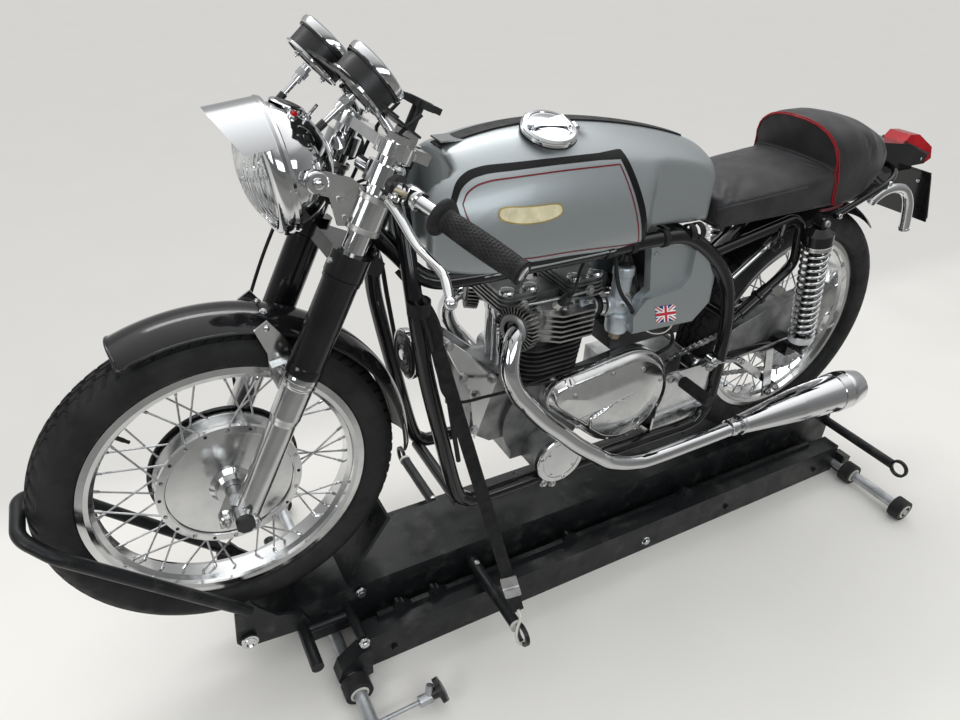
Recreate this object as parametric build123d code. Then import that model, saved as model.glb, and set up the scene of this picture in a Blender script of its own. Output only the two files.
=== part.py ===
from build123d import *
from math import cos, radians, sin
import os

# Cafe racer motorcycle held upright on a low steel lift. Millimetres.
# The bike is drawn with its rear axle over x = 0, +X forward, +Y to the rider's left and
# z = 0 on the lift's deck. The last lines move everything so that the origin is on the
# floor under the middle of the whole.

# Driving dimensions of the bike
WHEELBASE = 1431.0
RAKE = 26.3            # degrees from upright
YOKE_OFFSET = 70.0     # front axle ahead of the steering axis
AXLE_LEAD = 11.0       # front axle ahead of the fork legs
FORK_Y = 97.0          # half the distance between the fork legs
FRONT_R = 325.0        # tyre radius
REAR_R = 324.0
FRONT_TYRE_HALF = 45.0
REAR_TYRE_HALF = 52.0
AXLE_R = 8.0
SPROCKET_R = 104.0
RUNNING_GAP = 0.05     # radial clearance of a wheel on its axle
STEM_GAP = 0.4         # radial clearance of the stem in the head tube
STEM_R = 13.0
HEAD_TUBE_R = 27.0
HEAD_TUBE_FOOT = 511.0 # up the legs from the axle
HEAD_TUBE_LENGTH = 155.0
LOOP_Y = 112.0         # centre of each frame loop
FRAME_TUBE_R = 16.0
SHOCK_Y = 153.0
SPRING_TURNS = 12
PIPE_R = 19.0          # exhaust pipe
CRANK_X = 765.0
CRANK_Z = 350.0
CLUTCH_X = 572.0
CLUTCH_Z = 308.0
COVER_NOSE_X = 745.0   # small end of the primary cover
COVER_NOSE_Z = 362.0
BARREL_Z = 400.0       # foot of the barrel
HEAD_Z = 500.0         # joint of barrel and head
BARREL_FINS = 7
HEAD_FINS = 6
FIN_PITCH = 12.0
FIN_THICK = 4.0
CAP_TILT = -19.5       # the filler cap leans with the tank's shoulder
CAP_HINGE_X = -54.0    # hinge pin behind the middle of the cap
CAP_HINGE_Z = 10.0

# Driving dimensions of the lift
DECK_H = 165.0         # deck above the floor
STUB_X = 1354.0        # bare tube on each side of the deck's front end
DECK_GAP = 0.4         # the tyres' outlines stop this far above the deck
DECK_HALF = 82.0       # outside of the deck channel
HOOP_Y = 87.0          # centre of each side of the wheel hoop
HOOP_R = 12.0
RAIL_Y = 165.0         # outer face of a base rail
RAIL_H = 92.0
RAIL_W = 50.0
ROLLER_R = 30.0
ROLLER_INNER_Y = 219.0
ROLLER_OUTER_Y = 385.0
ROLLER_W = 32.0
RING_R = 18.0          # inside of a tie-down ring

# Ends of the whole, which set the origin
FRONT_END = 1778.0     # front of the wheel hoop
REAR_END = -400.0      # back of the tail lamp
ORIGIN_X = (FRONT_END + REAR_END) / 2

SIN_RAKE = sin(radians(RAKE))
COS_RAKE = cos(radians(RAKE))

# Local frame of the fork: u ahead of the axle, y to the left, t up along the legs
FORK = Location(Plane(origin=(WHEELBASE, 0, FRONT_R), x_dir=(COS_RAKE, 0, SIN_RAKE),
                      z_dir=(-SIN_RAKE, 0, COS_RAKE)))

# Turns a flat sketch up, so that its second axis is Z
STOOD_UP = Location(Plane(origin=(0, 0, 0), x_dir=(1, 0, 0), z_dir=(0, -1, 0)))

parts = {}


def box(x0, x1, y0, y1, z0, z1):
    """Block between two corners."""
    middle = Pos((x0 + x1) / 2, (y0 + y1) / 2, (z0 + z1) / 2)
    return middle * Box(abs(x1 - x0), abs(y1 - y0), abs(z1 - z0))


def bar_y(x, z, y0, y1, radius):
    """Round bar across the machine."""
    return Pos(x, (y0 + y1) / 2, z) * Rot(90, 0, 0) * Cylinder(radius, abs(y1 - y0))


def bar(start, end, radius):
    """Round bar between two points."""
    path = Line(start, end)
    return sweep(Plane(origin=path @ 0, z_dir=path % 0) * Circle(radius), path=path)


def tube(points, radius, bend):
    """Round tube along straight runs joined by arcs of one bend radius."""
    path = FilletPolyline(*points, radius=bend)
    return sweep(Plane(origin=path @ 0, z_dir=path % 0) * Circle(radius), path=path)


def turned(points, x=0.0, z=0.0):
    """Solid turned about a line across the machine: points are (radius, y)."""
    face = make_face(Polyline([(x + r, y, z) for r, y in points], close=True))
    return revolve(face, axis=Axis((x, 0, z), (0, 1, 0)), revolution_arc=360)


def spun(points):
    """Solid turned about +Z: points are (radius, z)."""
    face = make_face(Polyline([(r, 0, z) for r, z in points], close=True))
    return revolve(face, axis=Axis.Z, revolution_arc=360)


def spun_line(curve, *corners):
    """Solid turned about +Z from a curve and the corners that lead from its end back to its start."""
    points = [curve @ 1, *corners, curve @ 0]
    sides = [Line(a, b) for a, b in zip(points, points[1:])]
    return revolve(make_face([curve, *sides]), axis=Axis.Z, revolution_arc=360)


def plate_y(points, y0, y1):
    """Flat plate with an outline in X and Z, between two values of y."""
    face = make_face(Polyline([(x, y0, z) for x, z in points], close=True))
    return extrude(face, amount=y1 - y0, dir=(0, 1, 0))


def mirrored(shape):
    """The same piece on the other side of the machine."""
    return mirror(shape, about=Plane.XZ)


def both(shape):
    return shape + mirrored(shape)


def tyre(x, z, outer_r, half, bead_r, bead_half, flange_r):
    """Tyre: straight beads, round side walls and a round tread."""
    shoulder_r = outer_r - 16
    shoulder_y = half * 0.78
    wide_r = (flange_r + shoulder_r) / 2 + 4
    outline = [
        Line((bead_r, bead_half), (flange_r, bead_half)),
        ThreePointArc((flange_r, bead_half), (wide_r, half), (shoulder_r, shoulder_y)),
        ThreePointArc((shoulder_r, shoulder_y), (outer_r, 0), (shoulder_r, -shoulder_y)),
        ThreePointArc((shoulder_r, -shoulder_y), (wide_r, -half), (flange_r, -bead_half)),
        Line((flange_r, -bead_half), (bead_r, -bead_half)),
        Line((bead_r, -bead_half), (bead_r, bead_half)),
    ]
    face = Pos(x, 0, z) * make_face(outline)
    return revolve(face, axis=Axis((x, 0, z), (0, 1, 0)), revolution_arc=360)


def rim(x, z, flange_r, bead_r, bead_half):
    """Flanged alloy rim with a drop centre."""
    well_r = bead_r - 9
    inner_r = well_r - 6
    right = [
        (flange_r, bead_half), (flange_r, bead_half + 4), (bead_r + 2, bead_half + 5),
        (bead_r - 6, bead_half + 3), (bead_r - 7, 20), (inner_r, 14),
    ]
    left = [(r, -y) for r, y in reversed(right)]
    seat = [
        (bead_r, -bead_half), (bead_r, -15), (well_r, -12), (well_r, 12), (bead_r, 15), (bead_r, bead_half),
    ]
    return turned(right + left + seat, x, z)


def spokes(x, z, hub_r, hub_y, rim_r, rim_y, per_side, lean, radius):
    """Crossed spokes from both hub flanges to the middle of the rim."""
    result = []
    for side in (1, -1):
        for k in range(per_side):
            hub_angle = 360 / per_side * (k + (0.25 if side > 0 else 0.75))
            rim_angle = hub_angle + (lean if k % 2 else -lean)
            a = radians(hub_angle)
            b = radians(rim_angle)
            start = (x + hub_r * cos(a), side * (hub_y + (1.5 if k % 2 else -1.5)), z + hub_r * sin(a))
            end = (x + rim_r * cos(b), side * rim_y, z + rim_r * sin(b))
            result.append(bar(start, end, radius))
    return Compound(children=result)


def front_wheel():
    flange_r, bead_r, bead_half = 255.0, 241.0, 27.0
    parts["front_tyre"] = tyre(WHEELBASE, FRONT_R, FRONT_R, FRONT_TYRE_HALF, bead_r, bead_half, flange_r)
    parts["front_rim"] = rim(WHEELBASE, FRONT_R, flange_r, bead_r, bead_half)
    bore = AXLE_R + RUNNING_GAP
    # Narrow drum: a polished cover on the left, and a drilled flange for the spokes on each side
    parts["front_hub"] = turned([
        (bore, -24), (131, -24), (131, -16), (112, -12), (104, -6), (104, 6), (112, 13), (131, 17), (131, 25),
        (118, 26), (116, 22), (40, 24), (32, 30), (30, 44), (bore, 44),
    ], WHEELBASE, FRONT_R)
    parts["front_spokes"] = spokes(WHEELBASE, FRONT_R, 124.0, 20.5, 228.0, 5.0, 20, 17.0, 1.8)


def rear_wheel():
    flange_r, bead_r, bead_half = 250.0, 236.0, 30.0
    parts["rear_tyre"] = tyre(0, REAR_R, REAR_R, REAR_TYRE_HALF, bead_r, bead_half, flange_r)
    parts["rear_rim"] = rim(0, REAR_R, flange_r, bead_r, bead_half)
    bore = AXLE_R + RUNNING_GAP
    # Drum on the left carries the sprocket; plain flange on the right
    parts["rear_hub"] = turned([
        (bore, -52), (34, -52), (38, -40), (88, -38), (88, -33), (40, -28), (40, 20), (95, 24), (104, 26),
        (104, 60), (96, 60), (92, 32), (28, 30), (28, 52), (bore, 52),
    ], 0, REAR_R)
    parts["rear_spokes"] = spokes(0, REAR_R, 84.0, 35.5, 223.0, 6.0, 20, 34.0, 1.8)
    parts["rear_sprocket"] = bar_y(0, REAR_R, 60, 66, SPROCKET_R) - bar_y(0, REAR_R, 58, 68, 60)


def fork():
    """Everything that turns with the steering, drawn upright and then leant back by the rake."""
    leg_line = Pos(-AXLE_LEAD, FORK_Y, 0)
    stem_line = Pos(-YOKE_OFFSET, 0, 0)
    slider = spun([(0, -20), (21, -20), (24, -14), (24, 190), (27, 205), (27, 288), (0, 288)])
    lug = box(-14, 40, -17, 17, -26, 22)
    axle = Rot(90, 0, 0) * Cylinder(AXLE_R, 2 * FORK_Y + 62)
    nut = Pos(0, FORK_Y + 26, 0) * Rot(90, 0, 0) * Cylinder(15, 18)
    spacer = Pos(0, 62.5, 0) * Rot(90, 0, 0) * Cylinder(16, 35)
    parts["front_axle"] = FORK * (axle + both(nut) + spacer)
    parts["fork_sliders"] = FORK * both(leg_line * (slider + lug)) - parts["front_axle"]
    cover = spun([(0, 288), (29, 288), (30, 300), (30, 470), (0, 470)])
    parts["fork_covers"] = FORK * both(leg_line * cover)
    # Bottom yoke with the steering stem
    clamp = leg_line * Pos(0, 0, 490) * Cylinder(33, 40)
    bridge = box(-88, 0, -70, 70, 474, 500) + stem_line * Pos(0, 0, 487) * Cylinder(30, 26)
    stem = stem_line * Pos(0, 0, 590) * Cylinder(STEM_R, 200)
    parts["bottom_yoke"] = FORK * (both(clamp) + bridge + stem)
    stanchion = leg_line * Pos(0, 0, 602.5) * Cylinder(20, 185)
    parts["fork_stanchions"] = FORK * both(stanchion)
    top = leg_line * Pos(0, 0, 682) * Cylinder(31, 22)
    cap = leg_line * Pos(0, 0, 693) * extrude(RegularPolygon(20, 6), amount=12)
    top = both(top + cap) + box(-92, 4, -66, 66, 673, 691) + stem_line * Pos(0, 0, 682) * Cylinder(30, 22)
    stem_nut = stem_line * Pos(0, 0, 693) * extrude(RegularPolygon(24, 6), amount=16)
    parts["top_yoke"] = FORK * (top + stem_nut - both(stanchion) - stem)
    knob = stem_line * Pos(0, 0, 730) * Cylinder(10, 42)
    lobes = Cylinder(21, 13) + Box(76, 20, 11) + Box(20, 76, 11)
    parts["damper_knob"] = FORK * (knob + stem_line * Pos(0, 0, 756) * lobes)


def brake_plate():
    """Black brake plate on the right of the front hub, held by the axle."""
    parts["front_brake_plate"] = turned([
        (AXLE_R, -29), (138, -29), (138, -33), (130, -37), (60, -44), (24, -48), (20, -80), (AXLE_R, -80),
    ], WHEELBASE, FRONT_R) - parts["fork_sliders"]


def arched_strip(x, z, radius, half, thick, first, last):
    """Domed mudguard blade round a wheel, from one angle to another (0 is ahead, 90 is up)."""
    drop = half * 0.42
    outside = ThreePointArc((radius - drop, -half), (radius, 0), (radius - drop, half))
    edge = radius - drop - 1
    inside = ThreePointArc((edge, half - thick), (radius - thick, 0), (edge, thick - half))
    face = make_face([
        outside, Line(outside @ 1, inside @ 0), inside, Line(inside @ 1, outside @ 0),
    ])
    blade = revolve(face, axis=Axis.Y, revolution_arc=last - first)
    return Pos(x, 0, z) * Rot(0, -last, 0) * blade


def front_mudguard():
    """Blade with a flat stay on each side, bolted to the top of the slider."""
    parts["front_mudguard"] = arched_strip(WHEELBASE, FRONT_R, FRONT_R + 31, 56.0, 3.0, 67.0, 182.0)
    stay_y = 57.5
    outline = [
        (1356, 654), (1333, 668), (1309, 632), (1297, 606), (1304, 556), (1330, 530), (1340, 563),
        (1340, 607),
    ]
    stay = plate_y(outline, stay_y, stay_y + 4)
    foot = plate_y([(1338, 585), (1304, 590), (1304, 556), (1330, 530)], stay_y, FORK_Y - 25)
    parts["mudguard_stays"] = both(stay + foot) - parts["fork_sliders"] - parts["fork_covers"]


def headlamp():
    """Bucket, rim, glass and peak on the lamp's own axis, then tipped down a little."""
    place = Pos(1276, 0, 896) * Rot(0, 90 + 7.5, 0)
    shell = spun_line(ThreePointArc((0, 0, -86), (71, 0, -56), (95, 0, -4)), (0, 0, -4))
    rim_curve = ThreePointArc((96, 0, -4), (105, 0, 11), (92, 0, 29))
    ring = spun_line(rim_curve, (90, 0, 24), (94, 0, 18), (92, 0, -4))
    glass = spun_line(ThreePointArc((0, 0, 56), (54, 0, 49), (90, 0, 24)), (90, 0, -4), (0, 0, -4))
    parts["headlamp_glass"] = place * glass
    # The peak is a strip of a tube that follows the top of the rim
    strip = Pos(0, 0, 51) * (Cylinder(105, 86) - Cylinder(102.5, 88))
    keep = Pos(-90, 0, 51) * Box(70, 240, 90)
    slope = plate_y([(-30, 42), (-30, 140), (-110, 140), (-110, 84)], -130, 130)
    peak = (strip & keep) - slope
    parts["headlamp_body"] = place * (shell + ring + peak)
    # One lug on each side reaches from the lamp to a clamp on the stanchion
    outline = [
        (1236, 914), (1254, 914), (1262, 898), (1250, 882), (1226, 872), (1216, 826), (1196, 822),
        (1170, 880), (1188, 896),
    ]
    arm = plate_y(outline, FORK_Y - 4, FORK_Y + 2)
    arm += bar_y(1243, 898, FORK_Y - 14, FORK_Y + 8, 15)
    leg = Pos(-AXLE_LEAD, FORK_Y, 578)
    bracket = arm + FORK * (leg * Cylinder(27, 62)) - FORK * (leg * Cylinder(20, 120))
    parts["headlamp_brackets"] = both(bracket) - parts["headlamp_body"]


def clocks():
    """Two round instruments on one plate that slopes up from the yoke."""
    plate = Box(190, 110, 4) + Pos(35, 0, 0) * Box(110, 210, 4)
    plate = Pos(25, 0, 732) * Rot(0, -14, 0) * plate
    cups = []
    faces = []
    for u, y, t, tilt in [(64, 62, 731, -26), (92, -75, 735, -22)]:
        seat = Pos(u, y, t) * Rot(0, tilt, 0)
        cups.append(seat * spun([(0, 4), (44, 4), (46, 8), (46, 35), (50, 35), (51, 46), (48, 50), (0, 50)]))
        faces.append(seat * spun([(0, 50), (43, 50), (40, 53), (0, 53)]))
    plate = FORK * plate - parts["top_yoke"] - parts["damper_knob"]
    parts["clocks"] = FORK * (cups[0] + cups[1]) + plate
    parts["clock_faces"] = FORK * Compound(children=faces)


def handlebars():
    """A clip-on on each leg: clamp, bar, grip and lever."""
    inner = Vector(14.0, 52.0, 641.0)
    direction = Vector(-138.0, 330.0, 617.5) - inner
    outer = inner + direction
    leg = Pos(-AXLE_LEAD, FORK_Y, 641)
    rod = bar(inner, outer, 11)
    clamp = leg * Cylinder(30, 32) + rod - leg * Cylinder(20, 90)
    # Rubber grip with a flange at its inner end
    grip_start = inner + direction * 0.53
    grip = bar(grip_start, inner + direction * 1.03, 17.5) + bar(grip_start, inner + direction * 0.555, 29)
    parts["grips"] = FORK * both(grip - rod)
    # Lever: pivot block on the bar, blade curved down to a ball end
    block_at = inner + direction * 0.36
    block = Pos(*block_at) * Box(34, 26, 26)
    points = [(-20, 150, 608), (-46, 205, 577), (-62, 275, 569), (-65, 320, 541)]
    blade = tube(points, 6, 24) + Pos(*points[-1]) * Sphere(10)
    parts["clip_on_bars"] = FORK * both(clamp + block + blade)


def frame():
    """Twin-loop frame: each side one long loop, with a head tube, cross tubes and a seat loop."""
    y = LOOP_Y
    # The rails come from under the tank to the foot of the head tube, the down tubes reach its top
    long_run = tube([
        (1131, 22, 776), (1070, 96, 700), (500, y, 700), (348, y, 572), (314, y, 420), (318, y, 172),
        (1002, y, 172), (1052, y, 400),
    ], FRAME_TUBE_R, 60)
    down_run = tube([(1052, y, 400), (1090, y, 600), (1088, 24, 860)], FRAME_TUBE_R, 60)
    seat_loop = tube([(420, y - 5, 636), (150, y - 5, 684), (132, y - 5, 560), (317, y - 3, 436)], 11, 40)
    middle = FORK * Pos(-YOKE_OFFSET, 0, HEAD_TUBE_FOOT + HEAD_TUBE_LENGTH / 2)
    head_tube = middle * Cylinder(HEAD_TUBE_R, HEAD_TUBE_LENGTH)
    bore = middle * Cylinder(STEM_R + STEM_GAP, HEAD_TUBE_LENGTH + 60)
    shape = both(long_run + down_run) + head_tube
    for x, z in [(1000, 172), (340, 172), (505, 700), (325, 470)]:
        shape += bar_y(x, z, -y, y, 13)
    parts["frame"] = shape - bore
    parts["seat_rails"] = both(seat_loop - parts["frame"])


def swingarm():
    """Fork round the rear wheel with a cross tube at its pivot, and the axle through its ends."""
    arm = tube([(352, 78, 330), (170, 80, 326), (90, 94, REAR_R), (0, 94, REAR_R)], 14, 40)
    arm += box(-34, 30, 84, 104, REAR_R - 22, REAR_R + 22)
    arm += box(66, 104, 84, 136, REAR_R - 8, REAR_R + 26)
    arm = both(arm) + bar_y(354, 330, -88, 88, 20)
    nuts = both(bar_y(0, REAR_R, 104, 118, 16))
    parts["rear_axle"] = bar_y(0, REAR_R, -124, 124, AXLE_R) + nuts
    parts["swingarm"] = arm - parts["rear_axle"]


def shocks():
    """Rear spring units: an eye at each end, a full-length plated spring, a black cap on top."""
    foot = Vector(84, SHOCK_Y, 346)
    top = Vector(146, SHOCK_Y, 684)
    length = (top - foot).length
    place = Location(Plane(origin=foot, x_dir=(0, 1, 0), z_dir=top - foot))
    body = spun([
        (0, 8), (12, 8), (12, 24), (28, 26), (28, 44), (14, 44), (14, length - 62), (33, length - 62),
        (33, length - 26), (16, length - 12), (0, length - 12),
    ])
    eye = place * Rot(0, 90, 0) * Cylinder(14, 26)
    top_eye = place * Pos(0, 0, length) * Rot(0, 90, 0) * Cylinder(14, 26)
    parts["rear_shocks"] = both(place * body + eye + top_eye)
    pitch = (length - 107) / SPRING_TURNS
    outline = [(14, 44.5)]
    for k in range(SPRING_TURNS):
        low = 44.5 + k * pitch
        outline += [(24, low), (31, low + pitch * 0.2), (31, low + pitch * 0.6), (24, low + pitch * 0.8)]
    outline += [(24, length - 62.5), (14, length - 62.5)]
    parts["shock_springs"] = both(place * spun(outline))


def crank_case():
    """Crankcase with its front lugs, timing cover on the right and round cover low on the left."""
    case = bar_y(CRANK_X, CRANK_Z - 58, -82, 62, 108) + box(690, 850, -82, 62, 200, 380)
    case += plate_y([(850, 440), (945, 450), (950, 300), (900, 262), (850, 260)], -50, 50)
    case += box(700, 860, -70, 62, 380, 400)
    timing = plate_y([(690, 300), (800, 270), (850, 330), (850, 430), (790, 452), (690, 420)], -112, -82)
    case += fillet(timing.edges().filter_by(Axis.Y), 22)
    case += bar_y(764, 214, -40, 114, 54)
    parts["crankcase"] = case - parts["frame"]


def rounded_block(x0, x1, half_y, z0, z1, corner):
    """Upright block across the machine with its four upright edges rounded."""
    block = box(x0, x1, -half_y, half_y, z0, z1)
    return fillet(block.edges().filter_by(Axis.Z), corner)


def head_fin(low, thick, grow=0.0):
    """Horizontal fin of the head: its front corners slant back, square to the splayed exhaust ports."""
    side = 97 + grow
    front = 838 + grow
    left = [(676, 70), (693, side), (772, side), (front, 48)]
    right = [(x, -y) for x, y in reversed(left)]
    face = make_face(Polyline([(x, y, low) for x, y in left + right], close=True))
    fin = extrude(face, amount=thick, dir=(0, 0, 1))
    return fillet(fin.edges().filter_by(Axis.Z), 9)


def top_end():
    """Finned barrel and head, with two rocker boxes on top."""
    barrel = rounded_block(704, 834, 74, BARREL_Z, HEAD_Z, 40)
    barrel += rounded_block(694, 846, 84, BARREL_Z, BARREL_Z + 6, 46)
    for k in range(BARREL_FINS):
        low = BARREL_Z + 14 + k * FIN_PITCH
        barrel += rounded_block(694 - k, 846 + k, 84 + k, low, low + FIN_THICK, 46)
    parts["cylinder_barrel"] = barrel - parts["crankcase"]
    head = rounded_block(706, 816, 80, HEAD_Z, HEAD_Z + 74, 34)
    for k in range(HEAD_FINS):
        head += head_fin(HEAD_Z + 2 + k * FIN_PITCH, FIN_THICK, k * 0.6)
    head += both(bar((790, 43, 543), (872, 97, 562), 25)) + both(bar((706, 46, 545), (668, 56, 545), 21))
    parts["cylinder_head"] = head
    rockers = rounded_block(656, 736, 66, HEAD_Z + 74, HEAD_Z + 118, 20)
    rockers += rounded_block(812, 892, 66, HEAD_Z + 74, HEAD_Z + 118, 20)
    rockers += box(736, 812, -30, 30, HEAD_Z + 74, HEAD_Z + 90)
    for x in (696, 852):
        for k in range(4):
            low = HEAD_Z + 80 + k * 9
            rockers += rounded_block(x - 44, x + 44, 72, low, low + 3, 24)
    parts["rocker_boxes"] = rockers - head


def primary_cover():
    """Teardrop cover over the clutch and the crank."""
    clutch_end = Pos(CLUTCH_X, CLUTCH_Z) * Circle(120)
    nose_end = Pos(COVER_NOSE_X, COVER_NOSE_Z) * Circle(45)
    outline = STOOD_UP * make_hull(clutch_end.edges() + nose_end.edges())
    cover = extrude(Pos(0, 62, 0) * outline, amount=50, dir=(0, 1, 0))
    cover = fillet(cover.faces().sort_by(Axis.Y)[-1].edges(), 16)
    parts["primary_cover"] = cover - parts["crankcase"]
    parts["cylinder_barrel"] -= cover


def gearbox():
    """Gearbox case behind the engine, held between plates."""
    case = plate_y([(384, 250), (400, 204), (440, 196), (440, 345), (400, 372), (384, 360)], -86, 62)
    case += plate_y([(440, 196), (500, 196), (560, 240), (560, 345), (440, 345)], -86, 40)
    parts["gearbox"] = case - parts["crankcase"]
    front = plate_y([(1024, 564), (991, 488), (956, 419), (940, 285), (888, 436)], 50, 58)
    rear = plate_y([(476, 348), (322, 347), (333, 233), (361, 193), (486, 187)], 106.5, 112)
    parts["engine_plates"] = both(front + rear) - parts["frame"] - parts["primary_cover"]


def carburettors():
    one = bar((680, 60, 548), (640, 60, 545), 26) + bar((650, 60, 545), (560, 60, 538), 22)
    one += bar((610, 60, 545), (610, 60, 470), 24) + bar((594, 60, 540), (584, 60, 612), 20)
    one += bar((566, 60, 538), (530, 60, 534), 27)
    parts["carburettors"] = both(one) - parts["cylinder_head"]


def exhausts():
    """Swept-back pipe and long silencer on each side."""
    pipe = tube([
        (874, 98, 563), (906, 124, 566), (914, 138, 500), (868, 150, 406), (790, 155, 320), (691, 160, 229),
        (614, 160, 178), (527, 165, 162), (253, 170, 171),
    ], PIPE_R, 36)
    rose = bar((868, 94, 561), (884, 105, 566), 42)
    pipe = pipe + rose - parts["cylinder_head"] - parts["cylinder_barrel"] - parts["rocker_boxes"]
    start = Vector(253, 170, 171)
    run = Vector(-176, 173, 166) - start
    place = Location(Plane(origin=start, z_dir=run))
    silencer = place * spun([
        (0, 0.5), (24, 0.5), (30, 60), (44, 200), (51, 340), (51, 372), (46, 392), (34, 408),
        (34, run.length), (28, run.length), (28, 400), (0, 400),
    ])
    parts["exhaust_pipes"] = both(pipe)
    parts["silencers"] = both(silencer - pipe)


def tank_section(x, half, low, high):
    """Cross-section of the tank: flat underneath, upright sides, domed top."""
    foot = half * 0.86
    shoulder = half * 0.8
    shoulder_z = high - (high - low) * 0.2
    middle_z = low + (high - low) * 0.42
    side = ThreePointArc((x, foot, low), (x, half, middle_z), (x, shoulder, shoulder_z))
    top = ThreePointArc((x, shoulder, shoulder_z), (x, 0, high), (x, -shoulder, shoulder_z))
    other = ThreePointArc((x, -shoulder, shoulder_z), (x, -half, middle_z), (x, -foot, low))
    return make_face([side, top, other, Line((x, -foot, low), (x, foot, low))])


def tank():
    """Slab-sided fuel tank: front notch for the steering head, knee recess, step in the lower edge."""
    rows = [
        (1064, 106, 706, 880), (1030, 124, 697, 893), (960, 139, 691, 912), (830, 142, 690, 926),
        (637, 139, 690, 908), (500, 130, 700, 877), (434, 112, 706, 854),
    ]
    body = loft([tank_section(*row) for row in rows])
    knee_plan = [(650, 200), (646, 150), (632, 138), (606, 116), (588, 111), (380, 100), (380, 200)]
    knee_face = make_face(Polyline([(x, y, 640) for x, y in knee_plan], close=True))
    recess = extrude(knee_face, amount=222, dir=(0, 0, 1))
    upright_edges = recess.edges().filter_by(Axis.Z).sort_by(Axis.X)
    knee = both(fillet(upright_edges[2:5], 12))
    step = plate_y([(380, 600), (380, 706), (606, 727), (612, 600)], -200, 200)
    notch = box(1008, 1100, -76, 76, 600, 960)
    body = body - knee - step - notch - parts["frame"]
    body = max(body.solids(), key=lambda piece: piece.volume)
    # Filler neck with a hinge at its back, and a quick-action cap that opens to the rear
    seat = Pos(818, 56, 914) * Rot(CAP_TILT, 0, 0)
    pin = Pos(CAP_HINGE_X, 0, CAP_HINGE_Z)
    lug = box(CAP_HINGE_X - 6, -30, 8, 13, -2, 3) + box(CAP_HINGE_X - 6, CAP_HINGE_X + 6, 8, 13, -2, 15)
    neck = Pos(0, 0, -1) * Cylinder(44, 7) + both(lug)
    neck += pin * Rot(90, 0, 0) * Cylinder(2.5, 26)
    knuckle = box(0, 20, -7, 7, -5, 5) + Rot(90, 0, 0) * Cylinder(6, 14)
    knuckle = pin * (knuckle - Rot(90, 0, 0) * Cylinder(2.5 + RUNNING_GAP, 30))
    cap = spun([(0, 3.5), (47, 3.5), (51, 6), (51, 12), (47, 15), (0, 16)])
    cap -= box(-90, -44, -15, 15, 0, 30)
    lever = extrude(make_hull((Circle(9).edges() + (Pos(-30, 0) * Circle(22)).edges())), amount=5)
    parts["fuel_tank"] = body + seat * neck
    parts["filler_cap"] = seat * (cap + knuckle + Pos(22, 0, 14) * lever)
    strap = loft([tank_section(x, half, low, high + 3) for x, half, low, high in rows])
    middle = box(470, 1007, -17, 17, 800, 1000)
    parts["tank_strap"] = (strap & middle) - parts["fuel_tank"]


def seat():
    """Flat pad with a rounded hump at its back."""
    base = plate_y([(426, 700), (426, 764), (120, 784), (-110, 784), (-140, 752), (80, 694)], -122, 122)
    base = fillet(base.faces().filter_by(Axis.Y).edges(), 18)
    rows = [
        (160, 120, 700, 872), (60, 120, 700, 880), (-60, 108, 712, 866), (-120, 90, 730, 836),
        (-150, 66, 748, 804),
    ]
    hump = loft([tank_section(*row) for row in rows])
    front_cut = plate_y([(66, 690), (150, 890), (200, 890), (200, 690)], -140, 140)
    parts["seat"] = base + (hump - front_cut) - parts["fuel_tank"]


def tail():
    """Rear mudguard, lamp on its housing, number plate and the stays that carry them."""
    parts["rear_mudguard"] = arched_strip(0, REAR_R, REAR_R + 24, 60.0, 3.0, 44.0, 128.0)
    housing = plate_y([(-140, 745), (-160, 796), (-262, 782), (-300, 766), (-300, 716), (-200, 716)], -46, 46)
    housing += plate_y([(-262, 782), (-380, 738), (-376, 716), (-262, 716)], -30, 30)
    lens = plate_y([
        (-262, 782), (-280, 799), (-316, 796), (-386, 758), (REAR_END, 727), (-376, 716), (-380, 738),
    ], -30, 30)
    plate = plate_y([(-315, 716), (-320, 716), (-378, 578), (-373, 578)], -90, 90)
    parts["tail_lamp"] = lens
    parts["tail_bracket"] = (housing + plate) - parts["seat"]
    stay = tube([(67, 128, 676), (-93, 128, 735), (-160, 90, 744), (-200, 40, 740)], 8, 24)
    pipe = tube([(-60, 128, 690), (-120, 128, 716), (-180, 128, 690), (-221, 128, 601)], 12, 20)
    parts["tail_stays"] = both(stay) + pipe - parts["tail_bracket"] - parts["seat"]


def small_pieces():
    rest = bar_y(433, 328, 112, 122, 16) + bar_y(433, 328, 118, 214, 11)
    parts["footrests"] = both(rest) - parts["primary_cover"]
    panel = plate_y([
        (668, 678), (650, 604), (612, 566), (608, 492), (470, 489), (428, 497), (398, 532), (408, 574),
        (452, 634), (486, 678),
    ], 92, 128)
    panel = fillet(panel.edges().filter_by(Axis.Y), 9)
    # Raised lower part, whose upper edge is the ridge that turns up to the tank
    raised = plate_y([
        (606, 578), (508, 586), (490, 606), (487, 670), (456, 630), (412, 572), (403, 534), (431, 502),
        (470, 494), (604, 497),
    ], 127, 137)
    raised = fillet(raised.edges().filter_by(Axis.Y), 7)
    raised = chamfer(raised.faces().sort_by(Axis.Y)[-1].edges(), 6)
    parts["side_panels"] = both(panel + raised) - parts["frame"]
    loops = []
    for front_r, rear_r in [(38, SPROCKET_R + 10), (28, SPROCKET_R + 0.5)]:
        ends = (Pos(410, 320) * Circle(front_r)).edges() + (Pos(0, REAR_R) * Circle(rear_r)).edges()
        loops.append(make_hull(ends))
    chain = extrude(Pos(0, 59, 0) * STOOD_UP * (loops[0] - loops[1]), amount=9, dir=(0, 1, 0))
    parts["drive_chain"] = chain - parts["gearbox"] - parts["crankcase"]
    horn = spun([(0, 0), (20, 0), (24, 16), (50, 20), (50, 32), (34, 37), (0, 33)])
    parts["horn"] = Pos(1040, 3, 503) * Rot(0, 90, 0) * horn


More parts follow.
